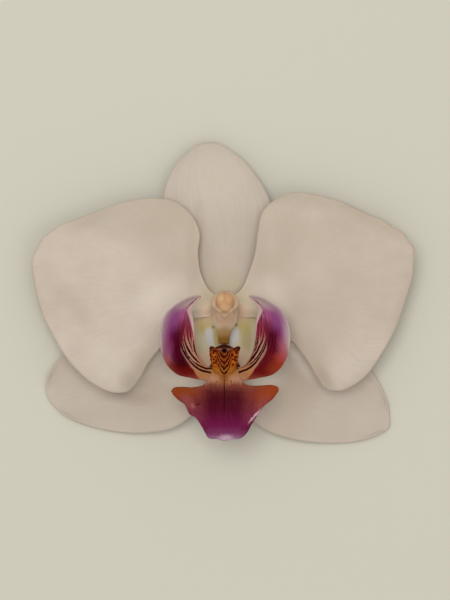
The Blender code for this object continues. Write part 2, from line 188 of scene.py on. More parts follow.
def rod_form(path, sides, rings, swell=None):
    """A closed rod along a path in a plane of constant x, as a bmesh in metres.

    swell(angle, t) scales the half widths, with angle 0 to the right and t from 0 to 1 along it.
    """
    line = spaced(smooth_line(path, measured=3), rings, measured=3)
    along = np.gradient(line[:, :3], axis=0)
    right = Vector((1, 0, 0))
    bm = bmesh.new()
    bmesh.ops.create_cone(bm, cap_ends=True, segments=sides, radius1=1.0, radius2=1.0, depth=1.0)
    upright = [e for e in bm.edges if abs(e.verts[0].co.z - e.verts[1].co.z) > 0.5]
    bmesh.ops.subdivide_edges(bm, edges=upright, cuts=rings - 1)
    for vert in bm.verts:
        ring = round((vert.co.z + 0.5) * rings)
        x, y, z, across, within = line[ring]
        side = Vector(along[ring]).normalized().cross(right)
        angle = math.atan2(vert.co.y, vert.co.x)
        scale = swell(angle, ring / rings) if swell else 1.0
        vert.co = (Vector((x, y, z)) + right * (math.cos(angle) * across * scale)
                   + side * (math.sin(angle) * within * scale)) * MM
    return bm


def grown_piece(name, bm, surface, node):
    """Turns a bmesh into a finished piece that stands for a CAD node."""
    bmesh.ops.recalc_face_normals(bm, faces=bm.faces[:])
    for face in bm.faces:
        face.smooth = True
    mesh = bpy.data.meshes.new(name)
    bm.to_mesh(mesh)
    bm.free()
    mesh.materials.append(surface)
    piece = bpy.data.objects.new(name, mesh)
    bpy.context.scene.collection.objects.link(piece)
    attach(piece, "root")
    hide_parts(node)
    return piece


def ribbed(angle, t):
    """How the ribs scale the stalk's half widths, turning half round along it."""
    return 1 - PEDICEL_RIB_DEPTH * (0.5 + 0.5 * math.cos(PEDICEL_RIBS * angle + math.pi * t))


# Orchid stalk skin: smooth green tissue with a waxy bloom. Purple-brown pigment gathers along
# it in streaks, and the cut end is pale with a browned rim.
stalk_skin, body, place = plant_skin("waxy_green_stalk_skin", roughness=0.45, glow=0.15)
fibre = add_node(stalk_skin, "Mapping", {"Vector": place}, {"Scale": (1.1, 0.12, 1.1)})
skin = clouded(stalk_skin, fibre, scale=1.6, detail=4.0, low=STALK_PALE, high=STALK_GREEN)
blotches = add_node(stalk_skin, "TexNoise", {"Vector": place}, {"Scale": 0.35, "Detail": 3.0})
skin = washed(stalk_skin, skin, STALK_BLUSH, blotches, 0.48, 0.68, strength=0.55, soft=False)
height_y = add_node(stalk_skin, "SeparateXYZ", {"Vector": place}, out="Y")
skin = washed(stalk_skin, skin, STALK_CUT_RIM, height_y, CUT_Y - 0.6, CUT_Y - 0.05)
skin = washed(stalk_skin, skin, STALK_CUT, height_y, CUT_Y - 0.01, CUT_Y, soft=False)
stalk_skin.node_tree.links.new(skin, body.inputs["Base Color"])
fine_relief(stalk_skin, body, fibre, scale=9.0, detail=3.0, strength=0.35, depth=0.08)

stalk = rod_form(PEDICEL_PATH, sides=72, rings=110, swell=ribbed)
for vert in stalk.verts:
    vert.co.z = max(0.0, vert.co.z - CONTACT_DEPTH * MM)
ends = [f for f in stalk.faces if len(f.verts) > 4]
for _ in range(3):
    bmesh.ops.inset_region(stalk, faces=ends, thickness=0.25 * MM, depth=0.0)
grown_piece("stalk", stalk, stalk_skin, "pedicel")


# Sepals: three plain blades of thick white tissue, seated on the boss behind the petals.
# The top one stands up behind, with a keel down its middle. The two lower ones droop
# sideways like shallow spoons and carry the flower where it lies.

BLADE_THICKNESS = 0.7
BLADE_MARGIN = 0.28
MARGIN_TAPER = 2.2
HUB_Y = -2.6
SEPAL_BASE_Z = 8.5
SEPAL_CONTACT_U = 0.86
SEPAL_SPOON_DEPTH = 1.3
SEPAL_TIP_CURL = 30.0
DORSAL_SLOPE = 1.2
DORSAL_TIP_FALL = 3.6
DORSAL_SIDE_FALL = 1.5
SEPAL_WAVE = 0.35
SEPAL_RIM_WAVE = 0.25
# An outline starts at one end of the blade's foot and ends at the other. Its rim names the two
# points between which the rim lies.
DORSAL_OUTLINE = [
    (-2.9, -1.3), (-6.9, 2.6), (-10.2, 7.6), (-13.2, 13.8), (-15.9, 19.6), (-16.2, 25.1),
    (-14.5, 31.1), (-11.0, 35.9), (-6.5, 39.3), (-2.6, 39.6), (3.1, 36.4), (7.4, 31.9),
    (10.5, 27.1), (12.6, 21.5), (12.4, 16.0), (10.6, 9.0), (7.2, 2.8), (2.9, -1.3),
]
DORSAL_RIM = (7, 10)
LEFT_SEPAL_OUTLINE = [
    (-3.2, -3.2), (-9.0, -5.6), (-17.0, -7.8), (-27.0, -9.2), (-36.0, -11.4), (-42.8, -16.2),
    (-46.6, -22.0), (-47.3, -25.0), (-46.7, -27.8), (-45.0, -29.9), (-42.7, -31.7), (-38.4, -34.0),
    (-33.2, -35.6), (-28.0, -36.5), (-23.8, -36.8), (-19.9, -36.6), (-15.7, -36.0), (-12.6, -34.9),
    (-9.2, -32.4), (-5.6, -27.8), (-2.4, -21.0), (-0.5, -13.6), (-0.3, -5.9),
]
LEFT_SEPAL_RIM = (6, 10)
RIGHT_SEPAL_OUTLINE = [
    (3.2, -3.2), (9.0, -5.6), (17.0, -8.0), (27.0, -11.4), (34.0, -15.8), (39.2, -21.2),
    (42.6, -28.4), (43.5, -32.2), (43.4, -35.1), (40.6, -36.8), (37.4, -38.2), (33.4, -39.1),
    (26.8, -39.4), (18.9, -38.6), (12.7, -36.8), (7.7, -33.7), (4.2, -26.0), (1.6, -19.5),
    (0.5, -13.6), (0.3, -5.9),
]
RIGHT_SEPAL_RIM = (6, 9)
SEPAL_LIGHT = "#cabdaf"
SEPAL_DARK = "#c4b6a6"
SEPAL_VEIN = "#b39f8c"
# At the sepals' feet: a green that is partly their own tint and partly painted shade, cream and
# tan that paint light into the hollow where shade falls, and pale glints painted on the feet
# beside the column
BASE_GREEN = "#bda964"
HOLLOW_CREAM = "#cfc3a0"
HOLLOW_TAN = "#cdb28c"
HOLLOW_GLINT = "#c9c5c2"
# Painted light and painted shade, washed over folds, creases, hollows and rims where light pools
# or shade falls
PAINTED_LIGHT = "#eadfce"
PAINTED_SHADE = "#b9a996"


def base_arc(start, end, count):
    """The foot of a blade, curved round the boss."""
    hub = np.array((0.0, HUB_Y))
    angle_a, angle_b = (math.atan2(*(np.array(p) - hub)[::-1]) for p in (start, end))
    if angle_b - angle_a > math.pi:
        angle_b -= 2 * math.pi
    if angle_a - angle_b > math.pi:
        angle_b += 2 * math.pi
    radius_a, radius_b = (np.linalg.norm(np.array(p) - hub) for p in (start, end))
    points = []
    for t in np.linspace(0.0, 1.0, count + 1):
        angle = (1 - t) * angle_a + t * angle_b
        radius = (1 - t) * radius_a + t * radius_b
        points.append(hub + radius * np.array((math.cos(angle), math.sin(angle))))
    return np.array(points)


def blade_plan(outline, rim_from, rim_to, rows, columns, cornered=False):
    """The plan of a blade as a grid of points: u runs from foot to rim, v from side a to side b.

    The points rim_from and rim_to part the two sides from the rim. The edges are blended, so
    lines of equal v fan out from the foot as the veins do. A cornered blade keeps sharp
    corners at both ends of its rim, and its foot is straight.
    """
    if cornered:
        a = smooth_line(outline[:rim_from + 1])
        rim = smooth_line(outline[rim_from:rim_to + 1])
        b = smooth_line(outline[rim_to:])
    else:
        whole = smooth_line(outline)
        a = whole[:STEPS_PER_SPAN * rim_from + 1]
        rim = whole[STEPS_PER_SPAN * rim_from:STEPS_PER_SPAN * rim_to + 1]
        b = whole[STEPS_PER_SPAN * rim_to:]
    a = spaced(a, rows)
    b = spaced(b[::-1], rows)
    rim = spaced(rim, columns)
    foot = spaced(np.array([a[0], b[0]]), columns) if cornered else base_arc(a[0], b[0], columns)
    u = np.linspace(0.0, 1.0, rows + 1)[:, None, None]
    v = np.linspace(0.0, 1.0, columns + 1)[None, :, None]
    sides = (1 - v) * a[:, None] + v * b[:, None]
    ends = (1 - u) * foot[None] + u * rim[None]
    corners = (1 - u) * ((1 - v) * a[0] + v * b[0]) + u * ((1 - v) * a[-1] + v * b[-1])
    return sides + ends - corners


def eased(value, low, high):
    """0 below low, 1 above high, and smooth between."""
    t = np.clip((value - low) / (high - low), 0.0, 1.0)
    return t * t * (3 - 2 * t)


def edge_distance(plan, edge):
    """How far each point of a plan is from an edge, in millimetres."""
    apart = plan[:, :, None, :] - edge[None, None, :, :]
    return np.sqrt((apart**2).sum(axis=3)).min(axis=2)


def waver(plan, size, seed):
    """Slow natural unevenness over a plan, about -1 to 1, with lumps of a size in millimetres."""
    flat = [noise.noise(Vector((x / size, y / size, seed))) for x, y in plan.reshape(-1, 2)]
    return np.array(flat).reshape(plan.shape[:2])


def blade_form(plan, height, thickness, margin, taper, marks=None):
    """A closed blade over a plan, as a bmesh in metres, thinner towards its free edge.

    It carries a UV map, blade, with v and u, and a value on each point for each name in marks.
    """
    rows, columns = plan.shape[0] - 1, plan.shape[1] - 1
    middle = np.dstack([plan, height])
    normal = np.cross(np.gradient(middle, axis=0), np.gradient(middle, axis=1))
    normal /= np.linalg.norm(normal, axis=2, keepdims=True) + 1e-12
    normal *= np.sign(normal[rows // 2, columns // 2, 2])
    free_edge = np.concatenate([plan[:, 0], plan[-1], plan[:, -1]])
    inward = edge_distance(plan, free_edge)
    half = 0.5 * (margin + (thickness - margin) * np.sqrt(np.clip(inward / taper, 0.0, 1.0)))
    bm = bmesh.new()
    bmesh.ops.create_grid(bm, x_segments=columns, y_segments=rows, size=1.0)
    copied = bmesh.ops.extrude_face_region(bm, geom=bm.faces[:], use_keep_orig=True)
    upper = [g for g in copied["geom"] if isinstance(g, bmesh.types.BMVert)]
    bmesh.ops.translate(bm, verts=upper, vec=(0, 0, 1))
    across = bm.loops.layers.uv.new("blade")
    for face in bm.faces:
        for loop in face.loops:
            loop[across].uv = ((loop.vert.co.x + 1) / 2, (loop.vert.co.y + 1) / 2)
    marks = marks or {}
    held = {name: bm.verts.layers.float.new(name) for name in marks}
    for vert in bm.verts:
        i = round((vert.co.y + 1) / 2 * rows)
        j = round((vert.co.x + 1) / 2 * columns)
        for name, values in marks.items():
            vert[held[name]] = values[i, j]
        side = 1 if vert.co.z > 0.5 else -1
        vert.co = Vector(middle[i, j] + side * half[i, j] * normal[i, j]) * MM
    return bm


def grid_uv(plan):
    """u and v over a plan, as two arrays."""
    rows, columns = plan.shape[:2]
    u, v = np.linspace(0.0, 1.0, rows), np.linspace(0.0, 1.0, columns)
    return np.meshgrid(u, v, indexing="ij")


def distance_from(surface, value, middle):
    """How far a value is from a middle, on either side of it."""
    off = add_node(surface, "Math", {0: value}, {1: middle}, operation="SUBTRACT")
    return add_node(surface, "Math", {0: off}, operation="ABSOLUTE")


def tinted(surface, place, under, patches):
    """Washes soft-edged patches over a colour.

    Each has a centre, half widths, a turn in degrees, how soft its edge is, its strength and
    its colour.
    """
    for (x, y), (wide, high), turn, soft, strength, colour in patches:
        local = add_node(surface, "Mapping", {"Vector": place},
                         {"Location": (x, y, 0), "Rotation": (0, 0, math.radians(turn)),
                          "Scale": (wide, high, 1e4)}, vector_type="TEXTURE")
        reach = add_node(surface, "VectorMath", {0: local}, operation="LENGTH", out="Value")
        under = washed(surface, under, colour, reach, 1 + soft, 1 - soft, strength)
    return under


def petal_tissue(name, light, dark, vein, vein_count, patches):
    """Fresh white petal tissue: thick, matt and faintly velvety, with fine branching veins.

    The outer cells stand up as tiny cones, a tenth of a millimetre wide. They are drawn
    four times as coarse, so that the soft sparkle they give shows at all.
    """
    surface, body, place = plant_skin(name, roughness=0.55, glow=0.25, gloss=0.3)
    body.inputs["Sheen Weight"].default_value = 0.08
    body.inputs["Sheen Roughness"].default_value = 0.5
    cloud = add_node(surface, "TexNoise", {"Vector": place},
                     {"Scale": 0.09, "Detail": 8.0, "Roughness": 0.62})
    skin = add_node(surface, "ValToRGB", {"Fac": cloud}, stops=[(0.35, dark), (0.65, light)])
    along = add_node(surface, "UVMap", uv_map="blade")
    fan = add_node(surface, "Mapping", {"Vector": along}, {"Scale": (vein_count, 1.5, 1)})
    wander = add_node(surface, "TexNoise", {"Vector": fan},
                      {"Scale": 1.0, "Detail": 2.0, "Roughness": 0.55})
    off = distance_from(surface, wander, 0.5)
    line = add_node(surface, "MapRange", {"Value": off}, {"From Min": 0.05, "From Max": 0.0},
                    **SOFT_STEP)
    skin = washed(surface, skin, vein, line, 0.0, 1.0, strength=0.13, soft=False)
    # The patches paint light and shade over the tissue, with a few of its own tints
    skin = tinted(surface, place, skin, patches)
    surface.node_tree.links.new(skin, body.inputs["Base Color"])
    cells = add_node(surface, "TexVoronoi", {"Vector": place}, {"Scale": 2.5})
    cell_relief = add_node(surface, "Bump", {"Height": cells},
                           {"Strength": 0.12, "Distance": 0.04 * MM}, invert=True)
    vein_relief = add_node(surface, "Bump", {"Height": line, "Normal": cell_relief},
                           {"Strength": 0.12, "Distance": 0.06 * MM})
    surface.node_tree.links.new(vein_relief, body.inputs["Normal"])
    return surface


def dorsal_height(u, v):
    """Droops towards its tip, with its sides turned down either side of a keel."""
    sides = DORSAL_SIDE_FALL * (2 * v - 1) ** 2 * np.sin(np.pi * np.minimum(1.0, 0.12 + 0.9 * u))
    return SEPAL_BASE_Z - (DORSAL_SLOPE * u + DORSAL_TIP_FALL * u**3) - sides


def lateral_height(u, v):
    """A long shallow spoon that touches the surface a little short of its tip."""
    low = BLADE_THICKNESS / 2 - CONTACT_DEPTH
    left = np.maximum(0.0, 1 - (u / SEPAL_CONTACT_U) ** 1.35)
    past = np.maximum(0.0, u - SEPAL_CONTACT_U)
    spoon = SEPAL_SPOON_DEPTH * (2 * v - 1) ** 2 * np.sin(0.5 * np.pi * u)
    return low + (SEPAL_BASE_Z - low) * left**1.7 + SEPAL_TIP_CURL * past**2 + spoon


# Painted light and painted shade over folds, creases, rims and the hollow, with the sepals' own
# tints: the first list lies on the top sepal, the second on the lower two
DORSAL_PATCHES = [
    ((0.0, 2.0), (5.0, 4.0), 0, 0.6, 0.35, "#c4b487"),
    ((-1.0, 30.0), (7.0, 8.0), 0, 0.7, 0.2, PAINTED_LIGHT),
    ((0.0, 12.0), (7.5, 10.0), 0, 0.6, 0.3, PAINTED_SHADE),
    ((-6.5, 20.0), (1.2, 5.0), 4, 0.8, 0.4, PAINTED_SHADE),
]
HOLLOW_PATCHES = [
    ((-20.3, -24.6), (3.4, 3.0), -31, 0.8, 0.5, PAINTED_SHADE),
    ((20.3, -25.5), (4.6, 4.6), 35, 0.8, 0.6, PAINTED_SHADE),
    ((-25.5, -27.3), (6.0, 1.6), -7, 0.8, 0.5, "#a08f81"),
    ((-20.4, -19.6), (1.5, 6.2), -35, 0.8, 0.5, PAINTED_LIGHT),
    ((19.8, -17.0), (1.8, 6.2), 33, 0.8, 0.5, PAINTED_LIGHT),
    ((-17.3, -15.2), (1.4, 2.6), -31, 0.8, 0.8, PAINTED_LIGHT),
    ((18.4, -14.8), (1.4, 2.6), 38, 0.8, 0.8, PAINTED_LIGHT),
    ((-22.0, -31.0), (11.0, 4.5), 10, 0.7, 0.3, PAINTED_SHADE),
    ((16.0, -31.0), (5.5, 7.0), 0, 0.7, 0.5, PAINTED_SHADE),
    ((-5.5, -12.0), (4.0, 9.5), 0, 0.4, 0.75, HOLLOW_CREAM),
    ((5.5, -12.0), (4.0, 9.5), 0, 0.4, 0.75, HOLLOW_CREAM),
    ((5.6, -12.0), (1.5, 3.6), 0, 0.6, 0.6, "#a8935c"),
    ((-5.3, -8.6), (2.0, 1.9), 0, 0.8, 0.85, BASE_GREEN),
    ((4.9, -8.6), (2.0, 1.9), 0, 0.8, 0.85, BASE_GREEN),
    ((-5.2, -6.6), (3.4, 1.2), 0, 0.9, 0.9, HOLLOW_TAN),
    ((4.9, -6.6), (3.4, 1.2), 0, 0.9, 0.9, HOLLOW_TAN),
    ((-3.1, -8.8), (0.35, 0.35), 0, 0.9, 0.6, "#3a2a1e"),
    ((2.9, -8.2), (0.35, 0.4), 0, 0.9, 0.7, "#46301f"),
    ((-3.95, -11.3), (1.15, 2.4), 12, 0.4, 1.0, HOLLOW_GLINT),
    ((-2.3, -12.0), (0.7, 2.6), 12, 0.5, 0.8, "#b3a05c"),
    ((2.45, -11.2), (1.1, 2.4), -12, 0.4, 1.0, HOLLOW_GLINT),
    ((-4.9, -17.4), (2.4, 2.2), 30, 0.9, 0.8, "#dcbb9c"),
    ((4.6, -17.4), (2.4, 2.2), -30, 0.9, 0.8, "#dcbb9c"),
    ((-8.9, -22.4), (4.6, 2.2), 0, 0.9, 0.9, PAINTED_LIGHT),
    ((8.9, -22.4), (4.6, 2.2), 0, 0.9, 0.9, PAINTED_LIGHT),
]
top_tissue = petal_tissue("white_sepal_tissue_top", SEPAL_LIGHT, SEPAL_DARK, SEPAL_VEIN, 20,
                          DORSAL_PATCHES)
low_tissue = petal_tissue("white_sepal_tissue_lower", SEPAL_LIGHT, SEPAL_DARK, SEPAL_VEIN, 24,
                          HOLLOW_PATCHES)
SEPALS = [
    ("dorsal_sepal", DORSAL_OUTLINE, DORSAL_RIM, dorsal_height, top_tissue, 1.5),
    ("lateral_sepal_left", LEFT_SEPAL_OUTLINE, LEFT_SEPAL_RIM, lateral_height, low_tissue, 4.5),
    ("lateral_sepal_right", RIGHT_SEPAL_OUTLINE, RIGHT_SEPAL_RIM, lateral_height, low_tissue, 7.5),
]
for node, outline, rim, height, tissue, seed in SEPALS:
    plan = blade_plan(outline, *rim, rows=70, columns=48)
    u, v = grid_uv(plan)
    wave = SEPAL_WAVE * waver(plan, size=9.0, seed=seed) * u * (1 - eased(u, 0.6, 0.8))
    rim_wave = SEPAL_RIM_WAVE * waver(plan, size=4.0, seed=seed) * eased(u, 0.93, 1.0)
    lift = height(u, v) + wave + rim_wave
    sepal = blade_form(plan, lift, BLADE_THICKNESS, BLADE_MARGIN, MARGIN_TAPER)
    for vert in sepal.verts:
        vert.co.z = max(0.0, vert.co.z)
    grown_piece(node + "_blade", sepal, tissue, node)


# Petals: two broad fans of the same white tissue, in front of the sepals.
# Each springs from a narrow claw on the boss, arches along its midrib and falls to a
# softly fluted rim, so light pools along the rib and in the lower lobe.

PETAL_BASE_Z = 10.1
PETAL_ARCH = 6.2
PETAL_MIDRIB_V = 0.42
PETAL_MIDRIB_WIDTH = 0.16
PETAL_MIDRIB_RISE = 1.2
PETAL_TIP_FALL = 1.9
PETAL_SIDE_FALL = 1.3
PETAL_FLUTES = 2.6
PETAL_FLUTE_DEPTH = 0.6
PETAL_WAVE = 0.35
PETAL_RIM_WAVE = 0.22
LEFT_PETAL_OUTLINE = [
    (-2.4, -0.5), (-3.6, 0.4), (-6.0, 4.3), (-7.0, 10.5), (-6.6, 15.7), (-8.3, 19.9),
    (-12.5, 23.7), (-19.0, 24.8), (-27.3, 23.6), (-34.1, 21.2), (-38.2, 19.6), (-42.6, 17.9),
    (-45.6, 15.9), (-48.0, 13.9), (-49.0, 11.7), (-50.0, 9.8), (-49.8, 3.0), (-48.1, -4.3),
    (-44.7, -11.3), (-39.5, -19.1), (-34.5, -23.5), (-28.6, -25.9), (-25.2, -25.4), (-22.3, -22.2),
    (-19.7, -17.6), (-16.4, -13.6), (-12.6, -9.6), (-8.6, -6.4), (-3.6, -5.7), (-2.4, -4.9),
]
RIGHT_PETAL_OUTLINE = [
    (2.4, -0.5), (3.6, 0.4), (6.5, 6.1), (7.8, 10.5), (8.6, 16.5), (9.6, 20.9), (12.9, 24.3),
    (18.7, 26.4), (24.0, 25.7), (30.5, 23.9), (37.0, 20.9), (42.2, 18.6), (43.9, 17.2),
    (46.7, 15.6), (47.7, 13.8), (49.1, 12.2), (49.3, 8.5), (48.9, 4.0), (47.2, -1.7), (44.7, -8.7),
    (41.0, -15.5), (36.2, -22.0), (30.0, -25.3), (26.1, -24.7), (23.9, -21.7), (21.3, -17.3),
    (17.6, -12.6), (12.6, -9.0), (8.6, -6.4), (3.6, -5.7), (2.4, -4.9),
]
PETAL_RIM = (6, 22)
PETAL_LIGHT = "#d2c4b5"
PETAL_DARK = "#cabbaa"
PETAL_VEIN = "#b7a28f"


def petal_height(u, v):
    """Rises from the claw along a midrib, then falls to a softly fluted rim."""
    arch = PETAL_ARCH * u * (1 - u)
    midrib = PETAL_MIDRIB_RISE * u * np.exp(-(((v - PETAL_MIDRIB_V) / PETAL_MIDRIB_WIDTH) ** 2))
    fall = PETAL_TIP_FALL * u**2 + PETAL_SIDE_FALL * u**2 * (2 * v - 1) ** 2
    flutes = PETAL_FLUTE_DEPTH * u**3 * np.sin(2 * np.pi * (PETAL_FLUTES * v + 0.1))
    return PETAL_BASE_Z + (arch + midrib) - fall + flutes


# Painted shade in the folds, valleys and along the rims of both petals, painted light along the
# ribs and beside the column, and the warmer tissue at their feet
PETAL_PATCHES = [
    ((-14.0, 12.5), (7.5, 8.0), 20, 0.7, 0.55, PAINTED_SHADE),
    ((13.5, 12.0), (6.0, 9.0), -20, 0.7, 0.4, PAINTED_SHADE),
    ((27.5, 7.0), (19.0, 17.0), 0, 0.7, 0.35, PAINTED_SHADE),
    ((-22.5, 20.0), (14.0, 5.0), 10, 0.7, 0.4, PAINTED_SHADE),
    ((-41.0, -1.0), (2.4, 9.0), 38, 0.8, 0.3, PAINTED_SHADE),
    ((-21.3, -18.6), (2.0, 7.0), -25, 0.8, 0.6, PAINTED_SHADE),
    ((20.3, -16.0), (2.6, 8.0), 26, 0.8, 0.7, PAINTED_SHADE),
    ((-22.5, -19.5), (2.6, 4.0), -25, 0.8, 0.4, PAINTED_SHADE),
    ((-25.7, -22.5), (2.0, 2.2), 0, 0.8, 0.5, "#a69585"),
    ((25.7, -21.7), (1.6, 3.8), 26, 0.8, 0.6, "#a69585"),
    ((24.0, -15.5), (2.4, 5.5), 26, 0.8, 0.5, PAINTED_SHADE),
    ((25.5, -8.5), (5.5, 6.5), 0, 0.7, 0.3, PAINTED_SHADE),
    ((17.5, -4.5), (3.2, 4.5), 35, 0.8, 0.45, PAINTED_SHADE),
    ((-35.5, 19.2), (7.0, 2.0), 25, 0.8, 0.4, PAINTED_SHADE),
    ((22.0, 24.5), (12.0, 2.2), -8, 0.8, 0.4, PAINTED_SHADE),
    ((40.5, 18.0), (8.0, 2.0), -27, 0.8, 0.45, PAINTED_SHADE),
    ((46.0, -4.5), (1.8, 12.0), -18, 0.8, 0.35, PAINTED_SHADE),
    ((-31.0, -18.0), (5.0, 6.0), 30, 0.7, 0.25, PAINTED_LIGHT),
    ((-15.0, -2.6), (6.5, 5.5), -30, 0.7, 0.5, PAINTED_LIGHT),
    ((11.6, -1.2), (5.0, 5.0), 30, 0.7, 0.35, PAINTED_LIGHT),
    ((0.0, -3.5), (9.0, 5.5), 0, 0.6, 0.5, "#cdbd94"),
    ((-4.6, -4.9), (2.0, 2.2), 0, 0.6, 0.85, "#ebcfb6"),
    ((4.6, -4.9), (2.0, 2.2), 0, 0.6, 0.85, "#e4c8ac"),
    ((-8.5, 11.0), (1.5, 9.0), 0, 0.8, 0.5, PAINTED_SHADE),
    ((9.4, 12.0), (1.5, 9.0), 0, 0.8, 0.4, PAINTED_SHADE),
]
petal_white = petal_tissue("white_petal_tissue", PETAL_LIGHT, PETAL_DARK, PETAL_VEIN, 46,
                           PETAL_PATCHES)
for node, outline, seed in (("petal_left", LEFT_PETAL_OUTLINE, 2.5),
                            ("petal_right", RIGHT_PETAL_OUTLINE, 5.5)):
    plan = blade_plan(outline, *PETAL_RIM, rows=80, columns=130)
    u, v = grid_uv(plan)
    # Near the claw both sides are tucked down, the lower one more
    side_gap = edge_distance(plan, np.concatenate([plan[:, 0], plan[:, -1]]))
    tuck = (0.85 + 0.8 * v) * np.exp(-((side_gap / 1.6) ** 2)) * (1 - eased(u, 0.15, 0.5))
    wave = PETAL_WAVE * waver(plan, size=11.0, seed=seed) * u
    rim_wave = PETAL_RIM_WAVE * waver(plan, size=3.2, seed=seed) * eased(u, 0.8, 1.0)
    lift = petal_height(u, v) + wave + rim_wave - tuck
    petal = blade_form(plan, lift, BLADE_THICKNESS, BLADE_MARGIN, MARGIN_TAPER)
    grown_piece(node + "_blade", petal, petal_white, node)


# Lip: the third petal, one waxy purple piece, jointed to the column's foot by a short claw.
# Two side lobes stand up like wings, the mid lobe is a broad anchor-shaped plate, and
# between them sits the callus, a spotted orange lump with two teeth.

LIP_THICKNESS = 0.7
LIP_MARGIN = 0.3
LIP_TAPER = 1.2
LIP_BASE_Z = 14.2
MIDLOBE_SLOPE = 3.9
MIDLOBE_TIP_FALL = 1.1
MIDLOBE_WING_FALL = 2.0
GROOVE_DEPTH = 0.45
LOBE_OUTER_RISE = 5.2
LOBE_HOLLOW = 1.7
CALLUS_BASE_Z = 14.1
CALLUS_RISE = 1.5
CHEEK_RISE = 0.75
CHANNEL_DEPTH = 0.5
WART_HEIGHT = 0.16
MIDLOBE_OUTLINE = [
    (-3.0, -18.6), (-3.9, -21.3), (-5.3, -23.4), (-8.2, -24.2), (-11.4, -24.1), (-13.3, -24.4),
    (-13.9, -25.2), (-13.3, -26.2), (-12.2, -27.3), (-10.2, -28.9), (-9.7, -29.9), (-9.2, -31.0),
    (-7.6, -32.0), (-6.0, -34.2), (-5.1, -35.9), (-4.2, -37.2), (-1.9, -37.5), (-0.1, -38.0),
    (1.7, -37.6), (4.4, -37.1), (5.6, -35.9), (6.7, -34.0), (7.7, -32.4), (9.2, -30.1),
    (10.2, -28.9), (12.3, -27.2), (13.8, -25.2), (13.7, -24.2), (12.6, -23.7), (10.1, -23.7),
    (7.3, -23.8), (5.1, -23.3), (3.8, -21.2), (3.0, -18.6),
]
MIDLOBE_RIM = (6, 26)
SIDE_LOBE_OUTLINE = [
    (3.0, -19.2), (4.9, -18.6), (6.2, -17.0), (7.3, -14.4), (7.7, -11.9), (7.9, -9.3), (8.3, -6.2),
    (8.7, -4.1), (7.7, -2.4), (6.4, -1.2), (6.3, -0.7), (6.9, -0.5), (9.2, -1.0), (12.2, -2.6),
    (15.0, -5.2), (16.4, -8.7), (16.6, -12.7), (16.0, -15.8), (14.5, -18.7), (12.3, -20.7),
    (8.6, -21.7), (6.4, -22.2), (4.2, -22.8),
]
SIDE_LOBE_RIM = (9, 11)
CLAW_PATH = [
    (0, -13.75, 10.2, 1.3, 0.75), (0, -15.2, 11.3, 2.2, 1.0), (0, -18.0, 13.2, 3.6, 1.1),
    (0, -21.0, 13.9, 4.6, 0.8), (0, -23.8, 14.5, 4.2, 0.45),
]
CALLUS_OUTLINE = [
    (-0.9, -21.6), (-2.4, -20.4), (-3.3, -18.9), (-3.6, -17.2), (-3.9, -15.5), (-4.0, -14.0),
    (-3.1, -14.1), (-1.9, -13.7), (-0.2, -13.1), (1.5, -13.7), (2.7, -14.1), (3.6, -14.0),
    (3.5, -15.5), (3.2, -17.2), (2.9, -18.9), (2.0, -20.4), (0.5, -21.6),
]
CALLUS_RIM = (5, 11)
HORN_TIP = (3.7, -13.8, 19.4)
VEE_STEP = 1.45
VEE_BASE_Y = -20.8
# The dark stripes along each side lobe's veins: at these shares of its length, their shares of
# its width, and half their own width in millimetres, which is below nought where a stripe is
# missing
STRIPE_ALONG = [0.0, 0.08, 0.16, 0.24, 0.32, 0.40, 0.48, 0.56, 0.64]
LEFT_STRIPES = [
    ([0.02, 0.02, 0.03, 0.045, 0.06, 0.045, 0.04, 0.03, 0.03],
     [-0.1, 0.02, 0.05, 0.07, 0.22, 0.18, 0.03, -0.1, -0.1]),
    ([0.08, 0.1, 0.12, 0.17, 0.225, 0.28, 0.325, 0.33, 0.33],
     [-0.1, -0.05, 0.12, 0.3, 0.3, 0.3, 0.2, 0.1, 0.0]),
    ([0.05, 0.16, 0.25, 0.3, 0.35, 0.37, 0.385, 0.4, 0.4],
     [0.24, 0.28, 0.28, 0.13, 0.18, 0.18, 0.15, 0.0, -0.1]),
    ([0.36, 0.4, 0.42, 0.385, 0.4, 0.435, 0.45, 0.48, 0.5],
     [0.28, 0.38, 0.3, 0.26, 0.26, 0.24, 0.2, 0.0, -0.1]),
    ([0.15, 0.15, 0.15, 0.15, 0.13, 0.15, 0.2, 0.21, 0.24],
     [-0.1, -0.1, -0.1, -0.1, 0.04, 0.16, 0.22, 0.2, 0.08]),
    ([0.1, 0.1, 0.1, 0.1, 0.1, 0.1, 0.11, 0.12, 0.16],
     [-0.1, -0.1, -0.1, -0.1, -0.1, 0.05, 0.18, 0.16, 0.06]),
]
RIGHT_STRIPES = [
    ([0.02, 0.02, 0.02, 0.02, 0.02, 0.02, 0.02, 0.02, 0.02],
     [-0.1, -0.1, 0.0, 0.1, 0.2, 0.2, 0.16, 0.05, 0.0]),
    ([-0.03, -0.005, 0.02, 0.08, 0.12, 0.165, 0.235, 0.25, 0.25],
     [0.3, 0.3, 0.3, 0.3, 0.28, 0.26, 0.24, 0.14, 0.05]),
    ([0.13, 0.14, 0.16, 0.195, 0.24, 0.28, 0.33, 0.33, 0.33],
     [-0.1, -0.05, 0.12, 0.2, 0.22, 0.18, 0.12, 0.0, -0.1]),
    ([0.34, 0.3, 0.3, 0.28, 0.3, 0.34, 0.37, 0.38, 0.4],
     [0.3, 0.36, 0.3, 0.25, 0.2, 0.25, 0.13, 0.0, -0.1]),
    ([0.06, 0.06, 0.06, 0.06, 0.06, 0.08, 0.08, 0.07, 0.06],
     [-0.1, -0.1, -0.1, -0.1, 0.06, 0.16, 0.24, 0.18, 0.08]),
    ([0.16, 0.16, 0.16, 0.16, 0.16, 0.16, 0.16, 0.16, 0.16],
     [-0.1, -0.1, -0.1, -0.1, -0.1, -0.1, 0.08, 0.2, 0.1]),
]
